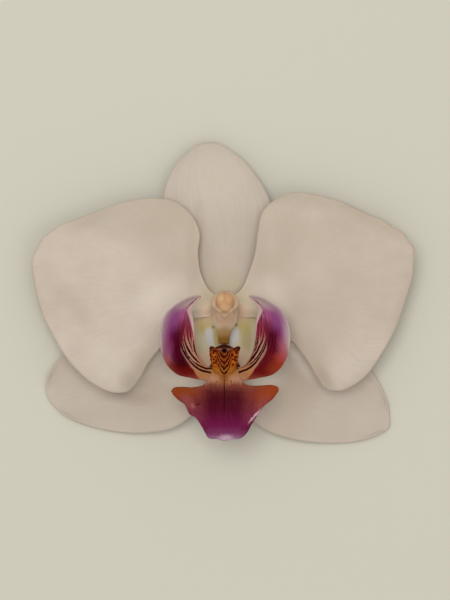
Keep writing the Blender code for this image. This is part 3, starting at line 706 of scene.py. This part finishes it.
# Where the pale part beside the stripes ends, as a share of the lobe's width
LEFT_PALE_END = [1.30, 0.95, 0.60, 0.49, 0.47, 0.49, 0.40, 0.33, 0.25]
RIGHT_PALE_END = [1.10, 0.80, 0.50, 0.40, 0.41, 0.42, 0.36, 0.27, 0.20]
# The pale inner edge of each side lobe, a painted highlight where light catches its rim: its width
# in millimetres at these shares of the length
HIGHLIGHT_ALONG = [0.46, 0.64, 0.80, 0.90]
LEFT_HIGHLIGHT = [0.14, 0.60, 1.00, 0.25]
RIGHT_HIGHLIGHT = [0.14, 0.08, 0.90, 0.25]
LIP_CENTRE_X = -0.2
# Down the lip's middle and down its flanks, from the saddle to the tip
MIDLOBE_TOP_Y = -22.0
MIDLOBE_TIP_Y = -38.0
MIDDLE_STOPS = [
    (0.0, "#8a4a34"), (1.0, "#a27894"), (0.12, "#763a2c"), (0.21, "#541417"), (0.33, "#480514"),
    (0.5, "#51061f"), (0.63, "#600a33"), (0.75, "#6c1141"), (0.88, "#773558"),
]
FLANK_STOPS = [
    (0.0, "#8f5740"), (1.0, "#8a4a6a"), (0.12, "#85442f"), (0.22, "#7a312a"), (0.36, "#6d2628"),
    (0.5, "#712936"), (0.65, "#782a44"), (0.8, "#5f1238"),
]
# The mid lobe's orange wings, mauve shoulders, pale tip and dark blemish, and a pale streak on the
# right lower rim, partly its turned-up underside and partly a painted highlight
MIDLOBE_PATCHES = [
    ((-11.0, -24.6), (2.2, 0.9), 0, 0.8, 0.6, "#93602c"),
    ((-11.6, -25.2), (4.0, 1.9), -5, 0.7, 0.95, "#8b3c16"),
    ((11.9, -25.2), (4.2, 2.4), 30, 0.7, 0.95, "#963f1a"),
    ((-9.6, -28.0), (2.2, 1.3), -45, 0.7, 0.8, "#8f4744"),
    ((9.8, -28.6), (2.4, 1.4), 45, 0.7, 0.8, "#944540"),
    ((-8.3, -29.0), (0.6, 0.5), -45, 0.6, 0.5, "#a8655c"),
    ((0.3, -37.4), (1.9, 1.0), 0, 0.6, 0.9, "#bd9cab"),
    ((7.7, -31.5), (2.3, 0.28), 47, 0.5, 0.9, "#cfa6b4"),
    ((-6.9, -33.0), (2.6, 0.3), -58, 0.6, 0.5, "#8f5260"),
    ((-7.0, -28.5), (0.5, 0.35), 20, 0.6, 0.8, "#3a0d12"),
]
SADDLE_PATCHES = [
    ((-0.2, -20.6), (6.2, 2.7), 0, 0.3, 1.0, "#a5714a"),
    ((-0.2, -20.6), (3.6, 2.0), 0, 0.6, 0.8, "#a56a2a"),
    ((-0.2, -21.7), (1.2, 1.5), 0, 0.7, 0.8, "#84481a"),
    ((-3.0, -21.9), (1.5, 0.8), 0, 0.8, 0.5, "#b08a7c"),
    ((2.7, -21.9), (1.5, 0.8), 0, 0.8, 0.5, "#b08a7c"),
    ((-5.0, -22.4), (1.3, 0.8), -35, 0.6, 0.4, "#b08468"),
    ((4.8, -22.3), (1.3, 0.8), 35, 0.6, 0.4, "#b08468"),
]
# Marks with sharper edges: two dots, the dark groove, and two dark blobs beside the callus's lower
# sides, below the teeth
SADDLE_MARKS = [
    ((-2.2, -22.8), (0.16, 0.16), 0, 0.4, 0.9, "#4a1c10"),
    ((1.6, -22.6), (0.16, 0.16), 0, 0.4, 0.9, "#4a1c10"),
    ((-0.18, -26.2), (0.16, 4.6), 0, 0.3, 0.95, "#2c030c"),
    ((-3.9, -18.7), (0.5, 0.9), 40, 0.6, 0.95, "#2a0a04"),
    ((3.5, -18.8), (0.5, 0.9), -40, 0.6, 0.95, "#2a0a04"),
]


def midlobe_height(u, v):
    """A plate with a fold along its middle: it rises to its tip, and its wings fall back."""
    wings = MIDLOBE_WING_FALL * np.abs(2 * v - 1) ** 1.5 * u
    groove = GROOVE_DEPTH * np.exp(-(((v - 0.5) / 0.05) ** 2)) * u * (1 - u)
    return LIP_BASE_Z + MIDLOBE_SLOPE * u - MIDLOBE_TIP_FALL * u**3 - wings - groove


def side_lobe_height(u, v):
    """A crescent cup that stands up round the column."""
    inner = 1.2 * u + 3.4 * u**2
    outer = LOBE_OUTER_RISE * np.sin(0.5 * np.pi * np.minimum(1.0, 1.7 * u))
    outer = outer - 0.6 * np.maximum(0.0, u - 0.59)
    hollow = LOBE_HOLLOW * np.sin(np.pi * v) * np.sin(np.pi * u) ** 0.7
    return LIP_BASE_Z + (1 - v**1.5) * inner + v**1.5 * outer - hollow


def lip_skin(name, roughness=0.45, drift_scale=1.4, drift_reach=0.9):
    """Waxy lip skin: smooth, dense, pigmented cells with a soft satin sheen and deep colour.

    The last thing it gives back is the place with a drift of up to half the reach in
    millimetres, so that the edges of markings waver.
    """
    surface, body, place = plant_skin(name, roughness, glow=0.04, gloss=0.04)
    drift = add_node(surface, "TexNoise", {"Vector": place},
                     {"Scale": drift_scale, "Detail": 3.0}, out="Color")
    drift = add_node(surface, "VectorMath", {0: drift}, {1: (0.5, 0.5, 0.5)},
                     operation="SUBTRACT")
    uneven = add_node(surface, "VectorMath", {0: drift, 2: place},
                      {1: (drift_reach, drift_reach, 0.0)}, operation="MULTIPLY_ADD")
    fine_relief(surface, body, place, scale=5.0, detail=4.0, strength=0.25, depth=0.08)
    return surface, body, place, uneven


def lip_ground(surface, place, uneven):
    """The colours that the mid lobe, the claw and the saddle between the side lobes share."""
    across, up = (add_node(surface, "SeparateXYZ", {"Vector": uneven}, out=axis) for axis in "XY")
    down = add_node(surface, "MapRange", {"Value": up},
                    {"From Min": MIDLOBE_TOP_Y, "From Max": MIDLOBE_TIP_Y})
    middle = add_node(surface, "ValToRGB", {"Fac": down}, stops=MIDDLE_STOPS)
    flank = add_node(surface, "ValToRGB", {"Fac": down}, stops=FLANK_STOPS)
    aside = distance_from(surface, across, LIP_CENTRE_X)
    ground = washed(surface, middle, flank, aside, 3.2, 6.8)
    ground = tinted(surface, uneven, ground, MIDLOBE_PATCHES)
    strands = add_node(surface, "Mapping", {"Vector": place}, {"Scale": (3.2, 0.7, 0.7)})
    strand = add_node(surface, "TexNoise", {"Vector": strands}, {"Scale": 1.0, "Detail": 4.0})
    for low, high, strength, code in ((0.55, 0.75, 0.14, "#8f4460"), (0.47, 0.3, 0.26, "#3a0210")):
        ground = washed(surface, ground, code, strand, low, high, strength, soft=False)
    # The saddle's patches end in streaks: their place moves by up to a millimetre along Y
    streaky = add_node(surface, "CombineXYZ", {"Y": strand})
    streaky = add_node(surface, "VectorMath", {0: streaky, 2: uneven}, {1: (0.0, 2.0, 0.0)},
                       operation="MULTIPLY_ADD")
    streaky = add_node(surface, "VectorMath", {0: streaky}, {1: (0.0, 1.0, 0.0)},
                       operation="SUBTRACT")
    ground = tinted(surface, streaky, ground, SADDLE_PATCHES)
    return tinted(surface, place, ground, SADDLE_MARKS)


plate_skin, body, place, uneven = lip_skin("waxy_purple_lip_skin")
ground = lip_ground(plate_skin, place, uneven)
plate_skin.node_tree.links.new(ground, body.inputs["Base Color"])

plan = blade_plan(MIDLOBE_OUTLINE, *MIDLOBE_RIM, rows=48, columns=110, cornered=True)
u, v = grid_uv(plan)
lift = midlobe_height(u, v) + 0.18 * waver(plan, size=3.5, seed=1.5) * u
plate = blade_form(plan, lift, LIP_THICKNESS, LIP_MARGIN, LIP_TAPER)
grown_piece("lip_mid_lobe", plate, plate_skin, "lip")
claw = rod_form(CLAW_PATH, sides=48, rings=40)
grown_piece("lip_claw", claw, plate_skin, "lip")

# Side lobes: pale at the margin, then violet, burgundy and red, with dark stripes along the inner
# veins. The first patches lie on both lobes, and the next ones on one of them; a pale one near the
# top of the inner edge is a painted highlight.
LOBE_PATCHES = [
    ((12.5, -6.4), (2.3, 3.0), 25, 0.7, 0.85, "#954e84"),
    ((10.4, -5.6), (1.2, 2.2), 0, 0.8, 0.7, "#b3628c"),
    ((10.6, -9.0), (1.2, 2.4), -8, 0.7, 0.75, "#8c2b42"),
    ((11.6, -14.2), (2.1, 5.0), 0, 0.8, 0.9, "#480012"),
    ((14.9, -14.8), (1.2, 2.4), 20, 0.8, 0.5, "#94485a"),
    ((9.9, -19.8), (2.6, 1.5), -15, 0.8, 0.8, "#640a08"),
    ((8.9, -5.2), (0.9, 1.8), 0, 0.7, 0.9, "#c9a6ac"),
    ((8.8, -1.7), (3.6, 1.2), -35, 0.6, 0.9, "#b49e99"),
]
ONE_SIDE_PATCHES = [
    ((11.4, -16.2), (1.8, 3.4), -20, 0.8, 0.6, "#68101a"),
    ((13.4, -18.7), (2.5, 1.7), 35, 0.8, 0.85, "#95381f"),
    ((12.7, -17.0), (1.3, 1.4), 0, 0.8, 0.5, "#86200f"),
    ((15.2, -14.8), (1.0, 3.4), 15, 0.8, 0.6, "#b05f62"),
    ((14.3, -16.4), (1.3, 1.5), 0, 0.8, 0.7, "#ac4238"),
    ((-15.2, -13.0), (0.9, 4.5), 0, 0.8, 0.55, "#84305c"),
    ((-15.1, -17.2), (1.1, 1.2), 0, 0.8, 0.5, "#a8584e"),
    ((-10.7, -17.6), (1.3, 1.3), 0, 0.8, 0.6, "#300303"),
]
# How far in from the margin the lobes' colours run, in millimetres
LOBE_DEPTH = 6.0
wing_skin, body, place, uneven = lip_skin("waxy_striped_lobe_skin")
ground = lip_ground(wing_skin, place, uneven)
outer, inner, stripe, pale = (
    add_node(wing_skin, "Attribute", attribute_name=mark, out="Fac")
    for mark in ("outer", "inner", "stripe", "pale"))
spread = add_node(wing_skin, "UVMap", uv_map="blade")
across, along = (add_node(wing_skin, "SeparateXYZ", {"Vector": spread}, out=axis)
                 for axis in "XY")
# The left lobe's place is folded over onto the right one's, where y is below nought
mirrored = add_node(wing_skin, "VectorMath", {0: uneven}, operation="ABSOLUTE")
mirrored = add_node(wing_skin, "VectorMath", {0: mirrored}, {1: (1, -1, 1)},
                    operation="MULTIPLY")
share = add_node(wing_skin, "Math", {0: outer}, {1: LOBE_DEPTH}, operation="DIVIDE")
upper = add_node(wing_skin, "ValToRGB", {"Fac": share}, stops=[
    (0.0, "#bca8a4"), (1.0, "#4c0016"), (0.07, "#b69a9f"), (0.17, "#ae8a9a"), (0.27, "#965a88"),
    (0.38, "#7d2966"), (0.55, "#690f42"), (0.75, "#540422")])
lower = add_node(wing_skin, "ValToRGB", {"Fac": share}, stops=[
    (0.0, "#85392c"), (1.0, "#3a0406"), (0.1, "#7a2a20"), (0.22, "#6c1614"), (0.4, "#520609"),
    (0.6, "#420307")])
height_y = add_node(wing_skin, "SeparateXYZ", {"Vector": uneven}, out="Y")
lobe = washed(wing_skin, lower, upper, height_y, -18.8, -14.0)
lobe = tinted(wing_skin, mirrored, lobe, LOBE_PATCHES)
lobe = tinted(wing_skin, uneven, lobe, ONE_SIDE_PATCHES)
# Lighter and darker rays fan out from the foot, strongest near the inner edge
near_inner = add_node(wing_skin, "MapRange", {"Value": across},
                      {"From Min": 0.7, "From Max": 0.35, "To Min": 0.15}, **SOFT_STEP)
fan = add_node(wing_skin, "Mapping", {"Vector": spread}, {"Scale": (34, 3.5, 1)})
ray = add_node(wing_skin, "TexNoise", {"Vector": fan}, {"Scale": 1.0, "Detail": 3.0})
for low, high, strength, code in ((0.52, 0.72, 0.45, "#a85a70"), (0.48, 0.3, 0.6, "#3c0010")):
    lobe = washed(wing_skin, lobe, code, ray, low, high, strength, mask=near_inner, soft=False)
# The inner part is peach between the stripes, and duskier where it ends
peach = add_node(wing_skin, "ValToRGB", {"Fac": along}, stops=[
    (0.05, "#ad7444"), (0.7, "#8a3a58"), (0.18, "#ae7656"), (0.3, "#b27f6b"), (0.46, "#b07765"),
    (0.52, "#964a48"), (0.6, "#84303f")])
past_foot = add_node(wing_skin, "MapRange", {"Value": along},
                     {"From Min": 0.15, "From Max": 0.25})
peach = washed(wing_skin, peach, "#8a524f", pale, 0.8, 1.0, strength=0.8, mask=past_foot)
lobe = washed(wing_skin, lobe, peach, pale, 1.07, 0.95)
# The stripes waver a little, and turn from near black to dark red towards the tip
jitter = add_node(wing_skin, "TexNoise", {"Vector": place}, {"Scale": 1.3, "Detail": 3.0})
wobble = add_node(wing_skin, "Math", {0: jitter}, {1: 0.3, 2: -0.15}, operation="MULTIPLY_ADD")
inside = add_node(wing_skin, "Math", {0: stripe, 1: wobble}, operation="ADD")
dark = add_node(wing_skin, "MapRange", {"Value": inside}, {"From Min": -0.05, "From Max": 0.05},
                **SOFT_STEP)
ink = add_node(wing_skin, "ValToRGB", {"Fac": along}, stops=[(0.4, "#280206"), (0.58, "#7a1a34")])
lobe = add_node(wing_skin, "Mix", {0: dark, 6: lobe, 7: ink}, **COLOUR_MIX)
# The inner edge is washed pale, a painted highlight along the rim
edge = add_node(wing_skin, "ValToRGB", {"Fac": along}, stops=[(0.4, "#b3826c"), (0.6, "#ceb0a9")])
lobe = washed(wing_skin, lobe, edge, inner, 1.3, 0.5, strength=0.9)
# At the foot the lobe has the saddle's colours, and only the stripes run on into it
joined = add_node(wing_skin, "MapRange", {"Value": along}, {"From Min": 0.02, "From Max": 0.09},
                  **SOFT_STEP)
clear = add_node(wing_skin, "Math", {0: joined, 1: dark}, operation="MAXIMUM")
lobe = add_node(wing_skin, "Mix", {0: clear, 6: ground, 7: lobe}, **COLOUR_MIX)
wing_skin.node_tree.links.new(lobe, body.inputs["Base Color"])


def stripe_mark(u, v, width, stripes):
    """How far inside the nearest stripe a side lobe's points are, in millimetres.

    It is below nought outside.
    """
    inside = [np.interp(u, STRIPE_ALONG, half)
              - np.abs(v - np.interp(u, STRIPE_ALONG, share)) * width
              for share, half in stripes]
    return np.max(inside, axis=0)


for word, side, stripes, pale_end, highlight_width in (
        ("left", -1, LEFT_STRIPES, LEFT_PALE_END, LEFT_HIGHLIGHT),
        ("right", 1, RIGHT_STRIPES, RIGHT_PALE_END, RIGHT_HIGHLIGHT)):
    outline = [(side * x, y) for x, y in SIDE_LOBE_OUTLINE]
    plan = blade_plan(outline, *SIDE_LOBE_RIM, rows=120, columns=96, cornered=True)
    u, v = grid_uv(plan)
    width = np.linalg.norm(plan[:, -1] - plan[:, 0], axis=1)[:, None]
    marks = {
        "outer": edge_distance(plan, np.concatenate([plan[:, -1], plan[-1]])),
        "inner": edge_distance(plan, plan[:, 0]) / np.interp(u, HIGHLIGHT_ALONG, highlight_width),
        "stripe": stripe_mark(u, v, width, stripes),
        "pale": v / np.interp(u, STRIPE_ALONG, pale_end),
    }
    lift = side_lobe_height(u, v) + 0.12 * waver(plan, size=3.0, seed=side) * np.sin(np.pi * u)
    wing = blade_form(plan, lift, LIP_THICKNESS, LIP_MARGIN, LIP_TAPER, marks)
    grown_piece("lip_side_lobe_" + word, wing, wing_skin, "lip")


# Callus: shiny orange warty tissue, smoother than the rest of the lip, so its gloss is
# sharper. It has dark red spots at its sides and nested stripes down its middle.
callus_skin, body, place, uneven = lip_skin("shiny_spotted_callus_skin", roughness=0.35,
                                            drift_scale=1.8, drift_reach=0.8)
skin = clouded(callus_skin, place, scale=0.9, detail=3.0, low="#9e480b", high="#b25c14")
skin = tinted(callus_skin, uneven, skin, [
    ((LIP_CENTRE_X, -14.2), (4.5, 1.2), 0, 0.6, 0.8, "#7c3614"),
    ((LIP_CENTRE_X, -20.4), (3.6, 1.4), 0, 0.5, 0.9, "#a56a2a"),
    ((LIP_CENTRE_X, -17.0), (1.7, 2.6), 0, 0.5, 0.7, "#87441a"),
])
across, up = (add_node(callus_skin, "SeparateXYZ", {"Vector": uneven}, out=axis)
              for axis in "XY")
from_middle = distance_from(callus_skin, across, LIP_CENTRE_X)
cells = add_node(callus_skin, "TexVoronoi", {"Vector": uneven},
                 {"Scale": 1.2, "Randomness": 0.8}, voronoi_dimensions="2D")
at_side = add_node(callus_skin, "MapRange", {"Value": from_middle},
                   {"From Min": 1.7, "From Max": 1.9})
above_base = add_node(callus_skin, "MapRange", {"Value": up},
                      {"From Min": -19.2, "From Max": -18.4})
spotted = add_node(callus_skin, "Math", {0: at_side, 1: above_base}, operation="MULTIPLY")
skin = washed(callus_skin, skin, "#4c0c06", cells, 0.4, 0.3, mask=spotted, soft=False)
# Each stripe is a V whose arms bend upwards, a step above the last
bend = add_node(callus_skin, "Math", {0: from_middle}, {1: 0.8, 2: 0.4},
                operation="MULTIPLY_ADD")
arms = add_node(callus_skin, "Math", {0: from_middle, 1: bend}, operation="MULTIPLY")
fold = add_node(callus_skin, "Math", {0: up, 1: arms}, operation="SUBTRACT")
fold = add_node(callus_skin, "Math", {0: fold}, {1: -VEE_BASE_Y}, operation="ADD")
vee = add_node(callus_skin, "Math", {0: fold}, {1: VEE_STEP / 2}, operation="PINGPONG")
in_middle = add_node(callus_skin, "MapRange", {"Value": from_middle},
                     {"From Min": 2.2, "From Max": 2.0})
past_tip = add_node(callus_skin, "MapRange", {"Value": fold},
                    {"From Min": -0.4, "From Max": -0.25})
striped = add_node(callus_skin, "Math", {0: in_middle, 1: past_tip}, operation="MULTIPLY")
skin = washed(callus_skin, skin, "#450d05", vee, 0.46, 0.34, mask=striped, soft=False)
# Painted shade in the notch under the teeth where the callus meets the column's foot, near black
# at its deepest, and dark spots at the teeth's tips
skin = tinted(callus_skin, place, skin, [
    ((-0.2, -14.4), (1.9, 0.3), 0, 0.5, 0.6, "#8f6a5c"),
    ((-0.2, -13.6), (2.3, 0.5), 0, 0.35, 1.0, "#3a1408"),
    ((-0.2, -14.65), (0.7, 0.5), 0, 0.35, 1.0, "#0a0403"),
    ((-3.75, -13.9), (0.55, 0.7), 0, 0.5, 0.9, "#3a160c"),
    ((3.5, -13.9), (0.55, 0.7), 0, 0.5, 0.9, "#3a160c"),
])
ground = lip_ground(callus_skin, place, uneven)
skin = washed(callus_skin, skin, ground, up, -20.4, -21.4)
callus_skin.node_tree.links.new(skin, body.inputs["Base Color"])


def callus_height(u, v):
    """Two cheeks either side of a channel, highest at the top."""
    aside = np.abs(2 * v - 1)
    cheeks = CHEEK_RISE * np.exp(-(((aside - 0.62) / 0.26) ** 2)) * eased(u, 0.15, 0.6)
    channel = CHANNEL_DEPTH * np.exp(-((aside / 0.3) ** 2)) * eased(u, 0.2, 0.5)
    return CALLUS_BASE_Z + CALLUS_RISE * eased(u, 0.0, 0.75) + cheeks - channel


plan = blade_plan(CALLUS_OUTLINE, *CALLUS_RIM, rows=60, columns=60, cornered=True)
u, v = grid_uv(plan)
lift = callus_height(u, v) + WART_HEIGHT * waver(plan, size=0.8, seed=6.5)
callus = blade_form(plan, lift, thickness=3.0, margin=0.5, taper=1.9)
grown_piece("lip_callus", callus, callus_skin, "lip")
x, y, z = HORN_TIP
for word, side in (("left", -1), ("right", 1)):
    path = [(side * (x - 0.9), y - 0.9, z - 3.2, 0.95, 0.9),
            (side * (x - 0.35), y - 0.3, z - 1.6, 0.6, 0.6),
            (side * x, y, z - 0.4, 0.22, 0.22)]
    horn = rod_form(path, sides=28, rings=20)
    grown_piece("lip_horn_" + word, horn, callus_skin, "lip")


# Column: the fused stamen and pistil, a fleshy cream post on the boss that carries every blade.
# Its foot runs down to the lip's claw and turns olive and brown, partly its own colour and partly
# painted shade, and its front has the shallow stigma.

COLUMN_TIP_Z = 19.0
HUB_RADIUS = 2.6
COLUMN_PATH = [
    (-0.25, -13.1, 10.2, 1.45, 0.8), (-0.3, -11.6, 10.25, 1.5, 1.1), (-0.25, -9.8, 10.5, 2.0, 1.5),
    (-0.1, -8.0, 11.1, 2.85, 1.9), (0, -5.9, 12.4, 3.25, 2.2), (0, -4.2, 14.4, 3.3, 2.3),
    (0, -3.0, 16.4, 3.4, 2.4), (0, -2.25, 18.0, 3.6, 2.8), (0, -2.2, COLUMN_TIP_Z, 3.4, 2.75),
]
STIGMA_CENTRE = (0.0, -5.4, 16.0)
STIGMA_RADII = (1.5, 1.6, 1.8)
STIGMA_DEPTH = 0.5
# Fleshy column skin: thick pale tissue, waxy and a little translucent, so it shines softly
column_skin, body, place = plant_skin("fleshy_cream_column_skin", roughness=0.42, glow=0.25)
skin = clouded(column_skin, place, scale=0.5, detail=3.0, low="#c6a087", high="#d0ae90")
skin = tinted(column_skin, place, skin, [((0.0, -2.4), (4.4, 2.8), 0, 0.4, 0.8, "#c6a886")])
height_z = add_node(column_skin, "SeparateXYZ", {"Vector": place}, out="Z")
skin = washed(column_skin, skin, "#c9c29f", height_z, 13.5, 11.5, soft=False)
# Painted light on the post's steep sides and on its lower front, which face away from the light;
# then the olive foot, darkening to brown partly with painted shade where it sinks beside the
# callus, the faint V of the rostellum and two dark spots
skin = tinted(column_skin, place, skin, [
    ((-3.3, -6.2), (0.8, 2.8), 0, 0.6, 0.8, "#e2cbb4"),
    ((3.3, -6.2), (0.8, 2.8), 0, 0.6, 0.8, "#e2cbb4"),
    ((0.1, -5.0), (3.4, 1.0), 0, 0.6, 0.6, "#ecc8a4"),
    ((-2.6, -4.6), (0.8, 1.2), 0, 0.6, 0.5, "#c19a80"),
    ((2.6, -4.6), (0.8, 1.2), 0, 0.6, 0.5, "#c19a80"),
    ((-0.2, -10.8), (3.2, 1.9), 0, 0.6, 0.85, "#a5753f"),
    ((-0.2, -12.5), (3.2, 1.5), 0, 0.6, 0.95, "#845808"),
    ((-0.2, -13.6), (2.4, 0.7), 0, 0.5, 0.9, "#4a2408"),
    ((-0.75, -5.95), (0.9, 0.2), -35, 0.8, 0.4, "#94705a"),
    ((0.8, -5.9), (0.95, 0.2), 36, 0.8, 0.4, "#94705a"),
    ((-2.9, -8.7), (0.3, 0.3), 0, 0.5, 0.85, "#5a4034"),
    ((2.75, -8.3), (0.3, 0.3), 0, 0.5, 0.85, "#5a4034"),
])
column_skin.node_tree.links.new(skin, body.inputs["Base Color"])
fine_relief(column_skin, body, place, scale=4.0, detail=4.0, strength=0.2, depth=0.06)
post = rod_form(COLUMN_PATH, sides=72, rings=70)
for vert in post.verts:
    away = sum(((at - middle) / radius) ** 2
               for at, middle, radius in zip(vert.co / MM, STIGMA_CENTRE, STIGMA_RADII))
    vert.co.y += STIGMA_DEPTH * math.exp(-away) * MM
grown_piece("column_post", post, column_skin, "column")
hub_path = [(0, HUB_Y, z, HUB_RADIUS - inset, HUB_RADIUS - inset)
            for z, inset in ((6.9, 0.3), (8.5, 0.0), (10.0, 0.1), (10.8, 0.5), (11.1, 1.2))]
boss = rod_form(hub_path, sides=48, rings=12)
grown_piece("column_boss", boss, column_skin, "column")


# Pollinarium: two waxy pollen lumps on a strap under the cap. The CAD node keeps its shape
# and gets the look of packed golden pollen, with the fine bumps of its grains.

pollen_skin, body, place = plant_skin("packed_golden_pollen", roughness=0.38, glow=0.3)
skin = clouded(pollen_skin, place, scale=6.0, detail=4.0, low="#c99a2e", high="#e2bd55")
pollen_skin.node_tree.links.new(skin, body.inputs["Base Color"])
fine_relief(pollen_skin, body, place, scale=6.0, detail=4.0, strength=0.4, depth=0.05)
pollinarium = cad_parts["pollinarium"]
pollinarium.data.materials.clear()
pollinarium.data.materials.append(pollen_skin)


# Anther cap: a thin peach helmet with two low domes and a small beak, resting loose on the
# column's tip over the pollen. Its tissue is thin and dry, so more light comes through it.

SEAT_GAP = 0.3
CAP_CENTRE = (0.0, -2.1, COLUMN_TIP_Z + SEAT_GAP)
CAP_RADII = (2.45, 2.3, 1.978)
CAP_WALL = 0.6
CAP_BEAK = 0.55
CAP_DOME = 0.16
cap_skin, body, place = plant_skin("thin_peach_anther_cap", roughness=0.45, glow=0.3)
skin = clouded(cap_skin, place, scale=0.9, detail=3.0, low="#bf9064", high="#cca074")
# Painted light on the two domes and on the lower half, which faces away from the light; painted
# shade in the cleft between the domes and on the flanks; a dark mark at the beak
skin = tinted(cap_skin, place, skin, [
    ((-1.15, -1.1), (0.8, 0.9), 0, 0.7, 0.7, "#dbb688"),
    ((1.1, -1.3), (0.9, 0.9), 0, 0.7, 0.6, "#d3a078"),
    ((-0.15, -0.8), (0.3, 0.9), 0, 0.8, 0.4, "#b3885a"),
    ((0.0, -4.0), (2.2, 0.9), 0, 0.7, 0.55, "#dcb48a"),
    ((-0.1, -4.5), (0.9, 0.4), 0, 0.7, 0.35, "#8f6440"),
    ((-2.2, -3.2), (0.7, 1.0), 0, 0.7, 0.4, "#a88068"),
    ((2.2, -3.2), (0.7, 1.0), 0, 0.7, 0.4, "#a88068"),
])
cap_skin.node_tree.links.new(skin, body.inputs["Base Color"])
fine_relief(cap_skin, body, place, scale=5.0, detail=3.0, strength=0.2, depth=0.05)
cap = bmesh.new()
bmesh.ops.create_uvsphere(cap, u_segments=72, v_segments=48, radius=1.0)
bmesh.ops.delete(cap, geom=[v for v in cap.verts if v.co.z < -0.01], context="VERTS")
for vert in cap.verts:
    x, y, z = vert.co
    beak = CAP_BEAK * max(0.0, -y - 0.75) / 0.25
    dome = math.exp(-(((abs(x) - 0.42) / 0.25) ** 2) - ((y - 0.2) / 0.4) ** 2)
    cleft = math.exp(-((x / 0.12) ** 2) - ((y - 0.2) / 0.5) ** 2)
    z *= 1 + CAP_DOME * (dome - 0.9 * cleft)
    vert.co = Vector((x * CAP_RADII[0] + CAP_CENTRE[0],
                      y * CAP_RADII[1] + CAP_CENTRE[1] - beak,
                      z * CAP_RADII[2] + CAP_CENTRE[2])) * MM
helmet = grown_piece("anther_cap_helmet", cap, cap_skin, "anther_cap")
wall = helmet.modifiers.new("cap_wall", "SOLIDIFY")
wall.thickness = CAP_WALL * MM
wall.offset = -1.0


# Studio: a plain pale floor, a large soft light from the upper left, a weaker one from the
# right, and a camera looking straight down on the flower.

FLOOR_COLOUR = "#d3cfbf"
FLOOR_DROP = 0.05
WORLD_COLOUR = (1.0, 0.99, 0.97, 1.0)
WORLD_STRENGTH = 0.56
# Each lamp is a name, a place and a size in metres, and a power in watts
LAMPS = [("key", (-0.12, 0.16, 0.8), 0.4, 2.3), ("fill", (0.2, -0.15, 0.8), 0.5, 0.8)]
CAMERA_PLACE = (0.0, -0.00169, 0.5955)
CAMERA_LENS = 135
floor_form = bmesh.new()
bmesh.ops.create_grid(floor_form, x_segments=1, y_segments=1, size=1.5)
bmesh.ops.translate(floor_form, verts=floor_form.verts[:], vec=(0, 0, -FLOOR_DROP * MM))
mesh = bpy.data.meshes.new("floor")
floor_form.to_mesh(mesh)
floor_form.free()
floor = bpy.data.objects.new("floor", mesh)
bpy.context.scene.collection.objects.link(floor)
floor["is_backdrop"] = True
# Matt painted board, which spreads the light evenly and shows no gloss
board = bpy.data.materials.new("matt_painted_board")
board.use_nodes = True
paint = board.node_tree.nodes["Principled BSDF"]
paint.inputs["Base Color"].default_value = linear(FLOOR_COLOUR)
paint.inputs["Roughness"].default_value = 0.9
mesh.materials.append(board)

world = bpy.data.worlds.new("studio")
world.use_nodes = True
sky = world.node_tree.nodes["Background"]
sky.inputs["Color"].default_value = WORLD_COLOUR
sky.inputs["Strength"].default_value = WORLD_STRENGTH
bpy.context.scene.world = world
for word, place, size, power in LAMPS:
    lamp = bpy.data.lights.new(word, "AREA")
    lamp.size = size
    lamp.energy = power
    holder = bpy.data.objects.new(word, lamp)
    holder.location = place
    holder.rotation_euler = (-Vector(place)).to_track_quat("-Z", "Y").to_euler()
    bpy.context.scene.collection.objects.link(holder)

camera = bpy.data.cameras.new("camera")
camera.lens = CAMERA_LENS
camera.sensor_width = 36
camera.clip_start = 0.01
eye = bpy.data.objects.new("camera", camera)
eye.location = CAMERA_PLACE
bpy.context.scene.collection.objects.link(eye)
bpy.context.scene.camera = eye
bpy.context.scene.view_settings.view_transform = "Standard"

low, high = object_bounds()
